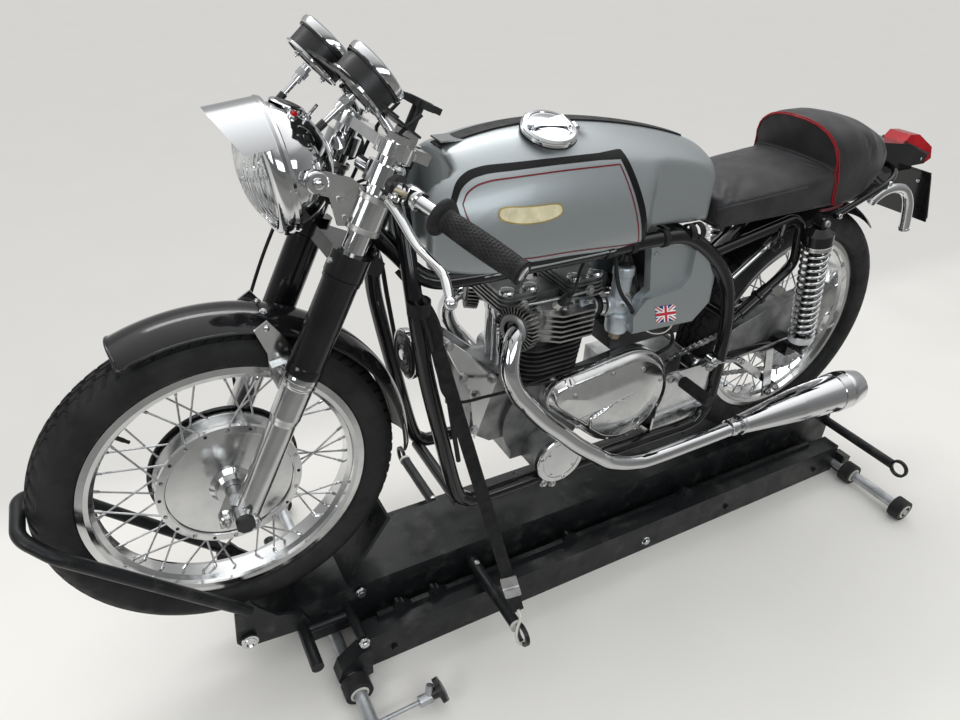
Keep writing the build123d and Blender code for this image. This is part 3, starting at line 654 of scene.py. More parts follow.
def add_rod(name, start, end, radius, material, body, segments=20):
    """Straight round rod between two points, in metres."""
    length = (end - start).length / MM
    profile = [(0, 0), (radius, 0), (radius, length), (0, length)]
    return add_lathe(name, profile, start, end - start, material, body, segments)


def smooth_path(points, steps, closed=False):
    """Catmull-Rom line through points of any dimension."""
    count = len(points)
    result = []
    spans = count if closed else count - 1
    for span in range(spans):
        if closed:
            p = [points[(span + k) % count] for k in (-1, 0, 1, 2)]
        else:
            p = [points[min(max(span + k, 0), count - 1)] for k in (-1, 0, 1, 2)]
        for step in range(steps):
            t = step / steps
            result.append(tuple(
                0.5 * (
                    2 * b + (c - a) * t + (2 * a - 5 * b + 4 * c - d) * t * t
                    + (3 * b - a - 3 * c + d) * t ** 3
                )
                for a, b, c, d in zip(*p)
            ))
    if not closed:
        result.append(tuple(points[-1]))
    return result


def mirror_side(point):
    """The same point on the other side of the machine."""
    return Vector((point.x, -point.y, point.z))


def ring_of(count, radius, centre, axis, phase=0.0):
    """Points spaced evenly round an axis, in metres."""
    place = axes_along(centre, axis)
    turns = [2 * pi * (k + phase) / count for k in range(count)]
    return [place @ Vector((radius * MM * cos(turn), radius * MM * sin(turn), 0)) for turn in turns]


# Wheels

TREAD_STEPS = 720
TREAD_DEPTH = 5.0
WALL_RIB_DEPTH = 0.8
SPOKES_PER_SIDE = 20
SPROCKET_TEETH = 44
VALVE = [(0, -6), (4, -6), (4, 22), (3.2, 24), (3.2, 32), (0, 33)]
NIPPLE = [(0, -4), (4.2, -4), (4.2, -1), (3.0, 0), (3.0, 12), (2.4, 14), (0, 14)]
SPOKE_HEAD = [(0, 3.2), (2.6, 3.0), (3.4, 1.5), (3.4, -2), (0, -2)]


def tyre_outline(outer_r, half, bead_half, flange_r):
    """Half outline of a tyre from the bead to the crown: (radius, y, share of the way across the tread)."""
    shoulder_r = outer_r - 16
    shoulder_y = half * 0.78
    wide_r = (flange_r + shoulder_r) / 2 + 4
    points = []
    wall = [
        (flange_r, bead_half), (flange_r + 7, half - 7), (wide_r - 10, half - 0.8),
        (wide_r + 8, half - 0.6),
    ]
    wall.append((shoulder_r, shoulder_y + 1))
    for r, y in smooth_path(wall, 4):
        points.append((r, y, 0.0))
    crown_radius = (shoulder_y ** 2 + (outer_r - shoulder_r) ** 2) / (2 * (outer_r - shoulder_r))
    widest = atan2(shoulder_y, crown_radius - (outer_r - shoulder_r))
    steps = 26
    for k in range(steps + 1):
        angle = widest * (1 - k / steps)
        r = outer_r - crown_radius + crown_radius * cos(angle)
        points.append((r, crown_radius * sin(angle), 1 - k / steps))
    return points


def front_groove(angle, across, side):
    """Depth of the ribbed road tread: two long grooves and slanted bars between them and the shoulder."""
    if abs(across - 0.13) < 0.035 or abs(across - 0.42) < 0.035:
        return 1.0
    phase = (angle * 72 / (2 * pi) + across * 1.3 + (0.5 if side < 0 else 0)) % 1.0
    if 0.20 < across < 0.95 and phase < 0.26:
        return 1.0
    if across < 0.10 and (angle * 72 / (2 * pi)) % 1.0 < 0.2:
        return 0.7
    return 0.0


def rear_groove(angle, across, _side):
    """Depth of the blocked rear tread, the same on both flanks."""
    zigzag = 0.05 * (1 if (angle * 60 / (2 * pi)) % 1.0 < 0.5 else -1)
    if abs(across - 0.22 - zigzag) < 0.04 or abs(across - 0.6 - zigzag) < 0.04:
        return 1.0
    phase = (angle * 72 / (2 * pi) + across * 0.5) % 1.0
    if across > 0.64 and phase < 0.16:
        return 0.9
    if across < 0.18 and phase < 0.10:
        return 0.6
    return 0.0


def add_tyre(name, node, x, z, outer_r, half, bead_half, flange_r, groove, body):
    """Tyre with its tread cut in; groove gives the depth at an angle and a place across the tread."""
    outline = tyre_outline(outer_r, half, bead_half, flange_r)
    columns = [(r, y, share, 1) for r, y, share in outline]
    columns += [(r, -y, share, -1) for r, y, share in reversed(outline[:-1])]
    bm = bmesh.new()
    rows = []
    for step in range(TREAD_STEPS):
        angle = 2 * pi * step / TREAD_STEPS
        row = []
        for r, y, share, side in columns:
            sunk = TREAD_DEPTH * groove(angle, share, side) if share > 0 else 0.0
            if share == 0.0:
                sunk = WALL_RIB_DEPTH * (abs((r - flange_r) % 9 - 4.5) < 0.8)
            radius = r - sunk
            row.append(bm.verts.new(at(x + radius * cos(angle), y, z + radius * sin(angle))))
        rows.append(row)
    join_rows(bm, rows + rows[:1], False)
    for row_edge in (0, len(columns) - 1):
        inner = []
        for step in range(TREAD_STEPS):
            angle = 2 * pi * step / TREAD_STEPS
            r = flange_r - 10
            inner.append(
                bm.verts.new(at(x + r * cos(angle), columns[row_edge][1] * 0.98, z + r * sin(angle)))
            )
        join_rows(bm, ([row[row_edge] for row in rows], inner))
    tyre = add_mesh(name, bm, tyre_rubber, body, radians(50))
    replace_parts(tyre, node)
    return tyre


def spoke_lines(x, z, hub_r, hub_y, rim_r, rim_y, lean):
    """Ends of every spoke, hub end first, laid out as the CAD spokes are."""
    lines = []
    for side in SIDE_SIGNS:
        for k in range(SPOKES_PER_SIDE):
            hub_angle = radians(360 / SPOKES_PER_SIDE * (k + (0.25 if side > 0 else 0.75)))
            rim_angle = hub_angle + radians(lean if k % 2 else -lean)
            offset = 1.5 if k % 2 else -1.5
            start = at(x + hub_r * cos(hub_angle), side * (hub_y + offset), z + hub_r * sin(hub_angle))
            end = at(x + rim_r * cos(rim_angle), side * rim_y, z + rim_r * sin(rim_angle))
            lines.append((start, end, side))
    return lines


def add_spoke_ends(prefix, lines, body):
    """Nipples where the spokes meet the rim, and the heads in the hub flanges."""
    nipples = bmesh.new()
    heads = bmesh.new()
    for start, end, side in lines:
        inward = start - end
        lathe(nipples, NIPPLE, axes_along(end, inward), 10)
        out = sideways(side)
        lathe(heads, SPOKE_HEAD, axes_along(start + out * 0.003, out), 10)
    add_mesh(prefix + "_nipples", nipples, chrome, body)
    add_mesh(prefix + "_spoke_heads", heads, steel, body)


def make_front_wheel():
    centre = at(WHEELBASE, 0, FRONT_AXLE_Z)
    add_tyre(
        "front_tyre_tread", "front_tyre", WHEELBASE, FRONT_AXLE_Z, FRONT_TYRE_R, 45.0, 27.0, 255.0,
        front_groove, "front_wheel",
    )
    add_spoke_ends(
        "front", spoke_lines(WHEELBASE, FRONT_AXLE_Z, 124.0, 20.5, 228.0, 5.0, 17.0), "front_wheel",
    )
    # Pairs of plain holes in the drilled flange show between the spokes as dark discs of painted shade
    holes = ring_of(20, 124.5, centre + LEFT * 25.2 * MM, LEFT, 0.72)
    add_fasteners("front_flange_hole_shade", [(p, LEFT) for p in holes], 3.2, dark_plastic, "front_wheel", "slot")
    add_lathe(
        "front_cover_rim", [(114.5, 0), (116.0, 1.4), (117.6, 1.4), (118.2, 0)], centre + LEFT * 24.4 * MM,
        LEFT, polished, "front_wheel", 96,
    )
    add_lathe(
        "front_valve", VALVE, at(WHEELBASE + 168, 0, FRONT_AXLE_Z + 155), at(0, 0, 0) - at(168, 0, 155),
        rubber, "front_wheel", 16,
    )


def make_rear_wheel():
    add_tyre(
        "rear_tyre_tread", "rear_tyre", 0.0, REAR_AXLE_Z, REAR_TYRE_R, 52.0, 30.0, 250.0, rear_groove,
        "rear_wheel",
    )
    add_spoke_ends("rear", spoke_lines(0.0, REAR_AXLE_Z, 84.0, 35.5, 223.0, 6.0, 34.0), "rear_wheel")
    add_lathe(
        "rear_valve", VALVE, at(-160, 0, REAR_AXLE_Z - 150), at(0, 0, 0) - at(-160, 0, -150), rubber,
        "rear_wheel", 16,
    )
    # Sprocket teeth
    teeth = bmesh.new()
    for k in range(SPROCKET_TEETH):
        angle = 2 * pi * k / SPROCKET_TEETH
        out = Vector((cos(angle), 0, sin(angle)))
        base = at(0, 63, REAR_AXLE_Z) + out * 101 * MM
        place = axes_along(base, out, LEFT)
        prism(teeth, [(-2, -4), (2, -4), (2, 4), (-2, 4)], place, 9)
    add_mesh("rear_sprocket_teeth", teeth, steel, "rear_wheel")


make_front_wheel()
make_rear_wheel()


# Front end

LAMP_AT = at(1276, 0, 896)
LAMP_TILT = radians(7.5)
LAMP_AXIS = Vector((cos(LAMP_TILT), 0, -sin(LAMP_TILT)))
LAMP_UP = Vector((sin(LAMP_TILT), 0, cos(LAMP_TILT)))
CLOCK_SITES = [(64, 62, 731, -26), (92, -75, 735, -22)]
BAR_INNER = (14.0, 52.0, 641.0)
BAR_REACH = (-152.0, 278.0, -23.5)
GRIP_ROWS = 150
GRIP_AROUND = 120
LEVER_LINE = [
    (-14, 138, 614), (-26, 160, 603), (-46, 205, 579), (-58, 250, 571), (-64, 285, 563), (-65, 312, 546),
]
LEVER_AROUND = 14


def lamp_at(ahead, left, up):
    """Point on the headlamp's own axes."""
    return LAMP_AT + (LAMP_AXIS * ahead + LEFT * left + LAMP_UP * up) * MM


def make_headlamp():
    # Silvered reflector and bulb shield behind the clear lens
    add_lathe(
        "lamp_reflector", [(0, 0), (20, 1), (48, 7), (70, 16), (88, 27)], lamp_at(-2, 0, 0), LAMP_AXIS,
        chrome, "steering", 64,
    )
    add_lathe(
        "lamp_bulb", [(0, 8), (9, 8), (11, 24), (10, 38), (0, 44)], lamp_at(0, 0, 0), LAMP_AXIS, glass,
        "steering", 24,
    )
    # Stepped rim with its clamp screw underneath
    add_lathe(
        "lamp_rim_bead", [(100.5, -3), (104.5, -1), (106.4, 4), (104.5, 9), (100.5, 11)], lamp_at(-2, 0, 0),
        LAMP_AXIS, chrome, "steering", 96,
    )
    add_lathe(
        "lamp_rim_lip", [(90.5, 22), (93, 27), (91.5, 31.5), (88.5, 30), (88, 24)], lamp_at(0, 0, 0),
        LAMP_AXIS, chrome, "steering", 96,
    )
    add_fasteners("lamp_rim_screw", [(lamp_at(8, 0, -106), LAMP_AXIS)], 4.5, chrome, "steering", "dome")
    # Switch panel on top of the bucket: ammeter bezel, lever switch and a red jewel
    bucket = surface("headlamp_body")
    panel, tilt = bucket.find_nearest(lamp_at(-38, 0, 84))[:2]
    add_lathe(
        "lamp_switch_plate", [(0, -6), (27, -6), (28, 2), (25, 4), (0, 4)], panel, tilt, chrome, "steering",
        48,
    )
    add_lathe(
        "lamp_switch_face", [(0, 4.1), (20, 4.1), (19, 5), (0, 5)], panel, tilt, dark_plastic, "steering",
        32,
    )
    side, out = bucket.find_nearest(panel + LEFT * 0.040)[:2]
    add_lathe(
        "lamp_jewel_bezel", [(0, -5), (8, -5), (8, 3), (6, 4.5), (0, 4.5)], side, out, chrome, "steering",
        24,
    )
    add_lathe("lamp_jewel", [(5.6, 4), (4.5, 7), (0, 8.5)], side, out, lens_red, "steering", 20)
    stalk, tilt = bucket.find_nearest(panel - LAMP_AXIS * 0.040 + LEFT * 0.020)[:2]
    add_lathe(
        "lamp_toggle_nut", [(0, -4), (7, -4), (7, 4), (5, 5), (0, 5)], stalk, tilt, chrome, "steering", 12,
    )
    add_rod("lamp_toggle", stalk, stalk + tilt * 0.024 + LEFT * 0.006, 2.6, chrome, "steering", 16)
    # Side fixings: a large dished washer with a hexagon head on each ear
    sites = []
    for side_sign, name in SIDES:
        hub = at(1243, side_sign * 105.2, 898)
        side = sideways(side_sign)
        sites.append((hub, side))
        add_lathe(
            "lamp_ear_washer_" + name, [(0, 0), (16, 0), (17, 1.5), (15, 3), (0, 3)], hub - side * 0.0002,
            side, chrome, "steering", 40,
        )
    add_fasteners("lamp_ear_bolts", [(p + d * 0.003, d) for p, d in sites], 8.5, chrome, "steering", "dome")
    ears = []
    for side_sign in SIDE_SIGNS:
        for x, z in ((1212, 868), (1205, 838)):
            ears.append((from_side("headlamp_brackets", x, z, side_sign)[0], sideways(side_sign)))
    add_fasteners("lamp_bracket_screws", ears, 4.5, steel, "steering", "slot")
    # Clamp bands round the stanchions, above and below the ear
    for side_sign, name in SIDES:
        for level in (552, 604):
            add_lathe(
                f"bracket_band_{level}_{name}", [(27.2, -5), (28.6, -4), (28.6, 4), (27.2, 5)],
                fork_at(LEG_U, side_sign * FORK_Y, level), FORK_UP, satin_alloy, "steering", 48,
            )


def make_clocks():
    """Bezel, dial, needle and hub of each instrument, with studs and cable ends behind."""
    studs = []
    for number, (u, y, t, tilt) in enumerate(CLOCK_SITES):
        lean = radians(tilt)
        axis = (FORK_UP * cos(lean) + FORK_AHEAD * sin(lean)).normalized()
        seat = fork_at(u, y, t)
        name = "speedometer" if number == 0 else "rev_counter"
        add_lathe(name + "_bezel", [
            (50.3, 38), (51.6, 39), (52.3, 46), (51.2, 50), (47.6, 52.4), (43.4, 52.6), (43.2, 50.2),
        ], seat, axis, chrome, "steering", 96)
        add_lathe(name + "_dial", [(0, 50.4), (42.5, 50.4)], seat, axis, dial_face, "steering", 64)
        marks = bmesh.new()
        place = axes_along(seat + axis * 0.0506, axis)
        for k in range(41):
            angle = radians(-225 + 270 * k / 40)
            length = 8.5 if k % 4 == 0 else 4.5
            turn = place @ Matrix.Rotation(angle, 4, "Z") @ Matrix.Translation((0.041 - length * MM, 0, 0))
            half = 0.8 if k % 4 == 0 else 0.4
            prism(marks, [(0, -half), (length, -half), (length, half), (0, half)], turn, 0.3)
        needle = place @ Matrix.Rotation(radians(-225), 4, "Z")
        prism(
            marks, [(-10, -1.6), (34, -0.5), (34, 0.5), (-10, 1.6)],
            needle @ Matrix.Translation((0, 0, 0.0008)), 0.5,
        )
        add_mesh(name + "_marks", marks, dial_marks, "steering")
        add_lathe(
            name + "_hub", [(0, 50.5), (6, 50.5), (5, 52.2), (0, 52.4)], seat, axis, dark_plastic,
            "steering", 24,
        )
        add_lathe(
            name + "_foot_ring", [(44, 2), (49, 2.5), (49, 6), (44, 7)], seat, axis, chrome, "steering", 72,
        )
        for k in range(3):
            turn = radians(120 * k + 40)
            across = axis.cross(LEFT).normalized()
            spot = seat + (across * cos(turn) + LEFT * sin(turn)) * 0.030 - axis * 0.001
            studs.append((spot, -axis))
        add_rod(name + "_drive", seat - axis * 0.004, seat - axis * 0.034, 7.5, chrome, "steering", 20)
        add_rod(name + "_drive_stem", seat - axis * 0.032, seat - axis * 0.066, 4.6, chrome, "steering", 20)
        add_rod(
            name + "_drive_end", seat - axis * 0.060, seat - axis * 0.074, 6.2, dark_plastic, "steering",
            20,
        )
        add_rod(name + "_drive_nut", seat - axis * 0.012, seat - axis * 0.024, 9.5, steel, "steering", 6)
    add_fasteners("clock_studs", studs, 4.0, chrome, "steering", "stud")
    # Two plated pillars from the yoke to the instrument plate
    for side_sign, name in SIDES:
        low = fork_at(LEG_U + 4, side_sign * 78, 700)
        high = fork_at(34, side_sign * 66, 728)
        add_rod("clock_pillar_" + name, low, high, 7, chrome, "steering", 20)


def bar_point(side_sign, share):
    """Point on a clip-on bar, from its clamp, 0, towards its end, 1."""
    return fork_at(
        BAR_INNER[0] + BAR_REACH[0] * share, side_sign * (BAR_INNER[1] + BAR_REACH[1] * share),
        BAR_INNER[2] + BAR_REACH[2] * share,
    )


def make_grip(side_sign, name):
    """Rubber grip with staggered dimples and a thick inner flange."""
    start = bar_point(side_sign, 0.53)
    end = bar_point(side_sign, 1.03)
    axis = (end - start).normalized()
    length = (end - start).length / MM
    place = axes_along(start, axis)
    bm = bmesh.new()
    rows = []
    for row in range(GRIP_ROWS + 1):
        along = length * row / GRIP_ROWS
        ring = []
        for k in range(GRIP_AROUND):
            angle = 2 * pi * k / GRIP_AROUND
            radius = 17.6
            # Barrel swell, end beads and dimples in staggered rows
            radius += 1.6 * sin(pi * min(max((along - 14) / (length - 20), 0), 1))
            if along > length - 7 or 12 < along < 16:
                radius += 1.2
            elif along > 18:
                line = int((along - 18) / 6.0)
                across = ((along - 18) % 6.0 - 3.0)
                turn = (angle * 18 / (2 * pi) + 0.5 * (line % 2)) % 1.0 - 0.5
                distance = sqrt(across ** 2 + (turn * 6.2) ** 2)
                radius -= 1.6 * max(0.0, 1 - (distance / 2.3) ** 2)
            ring.append(
                bm.verts.new(
                    place @ Vector((radius * MM * cos(angle), radius * MM * sin(angle), along * MM))
                )
            )
        rows.append(ring)
    join_rows(bm, rows)
    lathe(bm, [
        (11.3, -1), (24, -1), (29.4, 1), (30.2, 5), (28.6, 8.5), (22, 11), (18.4, 14), (11.3, 14),
    ], place, 64)
    lathe(bm, [(17.5, length), (15.5, length + 1.8), (11.5, length + 1.2)], place, 64)
    grip = add_mesh("grip_" + name, bm, rubber, "steering", radians(60))
    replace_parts(grip, "grips")
    add_lathe(
        "bar_end_" + name, [(0, 0), (11.4, 0), (11.4, 2.4), (10, 3.2), (0, 3.2)], end - axis * 0.0005, axis,
        chrome, "steering", 32,
    )


def make_controls():
    """Clamps, lever blocks, adjusters and the dip switch."""
    bolts = []
    for side_sign, name in SIDES:
        side = sideways(side_sign)
        leg = fork_at(LEG_U, side_sign * FORK_Y, 641)
        for level in (-8, 8):
            bolts.append((leg - FORK_AHEAD * 0.0295 + FORK_UP * level * MM, -FORK_AHEAD))
        # Lever perch: a clamp round the bar with a slotted pivot screw
        hub = bar_point(side_sign, 0.36)
        along = (bar_point(side_sign, 1.0) - bar_point(side_sign, 0.0)).normalized()
        add_lathe(
            "perch_" + name, [(11.2, -13), (16.5, -12), (17.5, -4), (17.5, 4), (16.5, 12), (11.2, 13)], hub,
            along, polished, "steering", 48,
        )
        pivot = fork_at(-14, side_sign * 148, 622)
        add_lathe(
            "lever_pivot_" + name, [(0, -4), (9, -4), (10, 0), (9, 4), (6, 5.5), (0, 5.5)], pivot, FORK_UP,
            polished, "steering", 32,
        )
        add_fasteners(
            "lever_pivot_screw_" + name, [(pivot + FORK_UP * 0.0055, FORK_UP)], 5.0, steel, "steering",
            "slot",
        )
        adjust = hub + FORK_AHEAD * 0.012 + side * 0.004
        add_lathe(
            "cable_adjuster_" + name, [(0, 0), (6, 0), (6, 5), (4.2, 6), (4.2, 20), (3, 21), (0, 21)],
            adjust, (FORK_AHEAD * 0.8 - side * 0.6).normalized(), brass if side_sign > 0 else steel,
            "steering", 16,
        )
        # Round dip switch next to the perch
        spot = bar_point(side_sign, 0.22)
        add_lathe(
            "dip_switch_" + name, [(11.3, -14), (19, -13), (20.5, -8), (20.5, 8), (19, 13), (11.3, 14)],
            spot, along, dark_plastic, "steering", 48,
        )
        dome = spot + FORK_UP * 0.019
        add_lathe(
            "dip_switch_cap_" + name, [(0, -2), (14, -2), (14.5, 4), (11, 9), (5, 11.5), (0, 12)], dome,
            FORK_UP, chrome, "steering", 40,
        )
        add_rod(
            "dip_switch_lever_" + name, dome + FORK_UP * 0.009, dome + FORK_UP * 0.016 - FORK_AHEAD * 0.016,
            2.2, chrome, "steering", 14,
        )
        add_lathe(
            "dip_switch_button_" + name, [(0, 0), (5, 0), (5, 4), (3.5, 5.5), (0, 6)],
            spot - FORK_AHEAD * 0.020 + FORK_UP * 0.002, -FORK_AHEAD, chrome, "steering", 20,
        )
    add_fasteners("clip_on_bolts", bolts, 4.2, steel, "steering", "dome")


def make_fork_details():
    """Slider seals with their steps and cover lips, axle clamps, bosses and nuts, and yoke bolts."""
    clamp_nuts = []
    yoke_bolts = []
    for side_sign, name in SIDES:
        y = side_sign * FORK_Y
        side = sideways(side_sign)
        seal = [(24.4, 0), (27.8, 1), (28.6, 3), (28.6, 20), (27.6, 23), (27.4, 24)]
        add_lathe("slider_seal_" + name, seal, fork_at(LEG_U, y, 262), FORK_UP, chrome, "steering", 64)
        for level in (268, 276):
            add_lathe(
                f"seal_groove_{level}_{name}", [(28.8, -0.8), (29.3, 0), (28.8, 0.8)],
                fork_at(LEG_U, y, level), FORK_UP, steel, "steering", 64,
            )
        add_lathe(
            "slider_step_" + name, [(24.1, 0), (25.6, 1.5), (25.6, 6), (24.1, 8)], fork_at(LEG_U, y, 196),
            FORK_UP, polished, "steering", 64,
        )
        add_lathe(
            "cover_lip_" + name, [(30.1, 0), (31.8, 1), (31.8, 8), (30.1, 10)], fork_at(LEG_U, y, 460),
            FORK_UP, gloss_black, "steering", 64,
        )
        add_lathe(
            "cover_foot_" + name, [(29.0, -2), (31.0, 0), (31.2, 14), (30.1, 17)], fork_at(LEG_U, y, 288),
            FORK_UP, gloss_black, "steering", 64,
        )
        for ahead in (24, -22):
            clamp_nuts.append((fork_at(ahead, y + side_sign * 8, -26), -FORK_UP))
        for ahead, end in ((30, "front"), (-20, "rear")):
            boss = fork_at(ahead, y + side_sign * 10, -4)
            add_lathe(
                f"axle_boss_{name}_{end}", [(0, 0), (11, 0), (12, 3), (12, 18), (10, 21), (0, 21)], boss,
                side, polished, "steering", 40,
            )
            add_fasteners(
                f"axle_boss_nut_{name}_{end}", [(boss + side * 0.021, side)], 6.5, steel, "steering",
                "stud",
            )
        yoke_bolts.append((fork_at(LEG_U + 30, y + side_sign * 4, 490), FORK_AHEAD))
        yoke_bolts.append((fork_at(LEG_U - 31, y, 682), -FORK_AHEAD))
    add_fasteners("axle_clamp_nuts", clamp_nuts, 5.0, steel, "steering", "stud")
    add_fasteners("yoke_pinch_bolts", yoke_bolts, 5.5, steel, "steering", "hex")
    # Axle end: black octagonal cap on the left
    place = axes_along(at(WHEELBASE, 128, FRONT_AXLE_Z), LEFT)
    cap = bmesh.new()
    corners = [radians(45 * k + 22.5) for k in range(8)]
    prism(cap, [(17 * cos(corner), 17 * sin(corner)) for corner in corners], place, 12)
    bevelled(cap, 1.5)
    add_mesh("front_axle_cap", cap, dark_plastic, "steering")


def make_front_guard_details():
    """Rolled bead round the blade's edge, stay bolts and the bolts on its top."""
    radius = FRONT_TYRE_R + 31
    half = 56.0
    drop = half * 0.42
    edge = []
    first, last = 67.0, 182.0
    steps = 40
    edge_r = radius - drop
    for k in range(steps + 1):
        angle = radians(first + (last - first) * k / steps)
        edge.append(at(WHEELBASE + edge_r * cos(angle), half, FRONT_AXLE_Z + edge_r * sin(angle)))
    other = [mirror_side(p) for p in reversed(edge)]

    def over(angle_deg):
        points = []
        for k in range(1, 8):
            share = -1 + 2 * k / 8
            y = -share * half
            r = radius - drop * share * share
            angle = radians(angle_deg)
            points.append(at(WHEELBASE + r * cos(angle), y, FRONT_AXLE_Z + r * sin(angle)))
        return points

    tip = list(reversed(over(first)))
    loop = edge + over(last) + other + tip
    add_tube("front_guard_bead", loop, 2.6, gloss_black, "steering", closed=True)
    bolts = []
    for side_sign in SIDE_SIGNS:
        for x, z in ((1336, 655), (1318, 552)):
            bolts.append((from_side("mudguard_stays", x, z, side_sign)[0], sideways(side_sign)))
    add_fasteners("front_stay_bolts", bolts, 5.0, chrome, "steering", "dome")
    top, normal = from_above("front_mudguard", 1330, 20)
    add_fasteners(
        "front_guard_bolts", [(top, normal), (mirror_side(top), Vector((normal.x, -normal.y, normal.z)))],
        4.5, steel, "steering", "hex",
    )


def make_lever_blades():
    """Flat forged blades of both levers, broad at the pivot and narrow before the ball."""
    for side_sign, name in SIDES:
        line = smooth_path(LEVER_LINE, 8)
        rows = []
        bm = bmesh.new()
        for k, (u, y, t) in enumerate(line):
            ends = (line[max(k - 1, 0)], line[min(k + 1, len(line) - 1)])
            here = fork_at(u, side_sign * y, t)
            before, after = [fork_at(ahead, side_sign * left, up) for ahead, left, up in ends]
            along = (after - before).normalized()
            across = along.cross(Vector((-0.35, side_sign * 0.45, 0.82))).normalized()
            face = across.cross(along)
            share = k / (len(line) - 1)
            wide = 11.0 - 4.6 * share
            row = []
            for step in range(LEVER_AROUND):
                angle = 2 * pi * step / LEVER_AROUND
                row.append(bm.verts.new(here + (across * cos(angle) * wide + face * sin(angle) * 6.3) * MM))
            rows.append(row)
        join_rows(bm, rows)
        bm.faces.new(rows[0])
        bm.faces.new(list(reversed(rows[-1])))
        add_mesh("lever_blade_" + name, bm, polished, "steering", radians(60))


make_lever_blades()
make_headlamp()
make_clocks()
for side_sign, name in SIDES:
    make_grip(side_sign, name)
make_controls()
make_fork_details()
make_front_guard_details()


# Tank and its paintwork

# Corners of the coach line on the left flank, as pixels of the photograph
BAND_PIXELS = [
    (453, 203), (458, 188), (466, 178), (478, 172), (500, 168), (560, 161), (621, 154), (625, 200),
    (631, 248), (575, 257), (524, 265), (500, 262), (480, 247), (462, 226),
]
BAND_CORNERS = (6, 8)
BAND_HALF = 4.8
BAND_WIDE = 7.0
BAND_LIFT = 0.7
DENSE_STEP = 5.0
LINE_HALF = 1.2
LINE_INSET = 14.0
BADGE_PIXEL = (532, 214)
BADGE_FRONT_PIXEL = (501, 213)
BADGE_REAR_PIXEL = (563, 208)
TANK_VOXEL = 0.0065
SEAM_Z = 703


def make_tank_shell():
    """The tank's own form with its edges drawn over, as hammered sheet is; the paintwork follows it."""
    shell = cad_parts["fuel_tank"].data.copy()
    shell.materials.clear()
    tank = add_object("tank_shell", shell, silver, "chassis")
    remesh = tank.modifiers.new("sheet", "REMESH")
    remesh.mode = "VOXEL"
    remesh.voxel_size = TANK_VOXEL
    soft = tank.modifiers.new("drawn", "SMOOTH")
    soft.factor = 0.6
    soft.iterations = 8
    depsgraph = bpy.context.evaluated_depsgraph_get()
    smooth = bpy.data.meshes.new_from_object(tank.evaluated_get(depsgraph))
    tank.modifiers.clear()
    tank.data = smooth
    for face in smooth.polygons:
        face.use_smooth = True
    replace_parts(tank, "fuel_tank")
    trees["fuel_tank"] = tree_of(smooth)


def flank_point(node, x, z, side, lift):
    """Point a little over a flank, where a line across the machine meets it."""
    point, normal = from_side(node, x, z, side)
    if normal.y * side < 0:
        normal = -normal
    return point + normal * lift * MM


def across_path(path, k):
    """Unit step at right angles to a path of (x, z), at one of its points."""
    before = path[max(k - 1, 0)]
    after = path[min(k + 1, len(path) - 1)]
    dx, dz = after[0] - before[0], after[1] - before[1]
    length = sqrt(dx * dx + dz * dz) or 1.0
    return -dz / length, dx / length


def ribbon(bm, node, path, widths, side, lift):
    """Painted stripe that follows a path of (x, z) over a flank; widths are its half widths."""
    rows = []
    for k, (x, z) in enumerate(path):
        half = widths[k]
        nx, nz = across_path(path, k)
        row = []
        for share in (-1.0, -0.5, 0.0, 0.5, 1.0):
            row.append(
                bm.verts.new(flank_point(node, x + nx * half * share, z + nz * half * share, side, lift))
            )
        rows.append(row)
    join_rows(bm, rows, False)


def dense(path):
    """The same line with a point every few millimetres."""
    result = []
    for a, b in zip(path, path[1:]):
        count = max(1, int(sqrt((b[0] - a[0]) ** 2 + (b[1] - a[1]) ** 2) / DENSE_STEP))
        for k in range(count):
            share = k / count
            result.append((a[0] + (b[0] - a[0]) * share, a[1] + (b[1] - a[1]) * share))
    result.append(path[-1])
    return result


def inset(path, centre, amount):
    """Moves a line towards a centre by an amount, point by point."""
    result = []
    for k, (x, z) in enumerate(path):
        nx, nz = across_path(path, k)
        if (centre[0] - x) * nx + (centre[1] - z) * nz < 0:
            nx, nz = -nx, -nz
        result.append((x + nx * amount, z + nz * amount))
    return result


def make_coach_lines():
    """Black band and thin red line inside it, on both flanks."""
    spots = [seen_on("fuel_tank", px, py) for px, py in BAND_PIXELS]
    flat = [(p.x, p.z) for p in spots]
    # Rounded at the front, behind the grip, and sharp at its two rear corners
    top, low = BAND_CORNERS
    curve = smooth_path(flat[:top + 1], 8)
    lower = smooth_path(flat[low:] + [flat[0]], 8)
    line = dense(curve[:-1] + [flat[top], flat[low]] + lower[1:])
    centre = (sum(p[0] for p in line) / len(line), sum(p[1] for p in line) / len(line))

    def band_width(x):
        near_rear = max(0.0, min(1.0, 1.0 - (x - flat[top][0]) / 50))
        return BAND_HALF + (BAND_WIDE - BAND_HALF) * near_rear

    inner = shrink_loop(line, centre, LINE_INSET)
    band_widths = [band_width(x) for x, _ in line]
    line_widths = [LINE_HALF] * len(inner)
    for side, name in SIDES:
        band = bmesh.new()
        ribbon(band, "fuel_tank", line, band_widths, side, BAND_LIFT)
        add_mesh("coach_band_" + name, band, coach_black, "chassis")
        thin = bmesh.new()
        ribbon(thin, "fuel_tank", inner, line_widths, side, BAND_LIFT)
        add_mesh("coach_line_" + name, thin, coach_red, "chassis")


def shrink_loop(path, centre, amount):
    """Line at an even distance inside a closed loop, with the crossings at its corners left out."""
    moved = inset(path, centre, amount)
    kept = []
    for point in moved:
        nearest = min((point[0] - q[0]) ** 2 + (point[1] - q[1]) ** 2 for q in path)
        if nearest > (amount * 0.97) ** 2:
            kept.append(point)
    return dense(kept + [kept[0]])


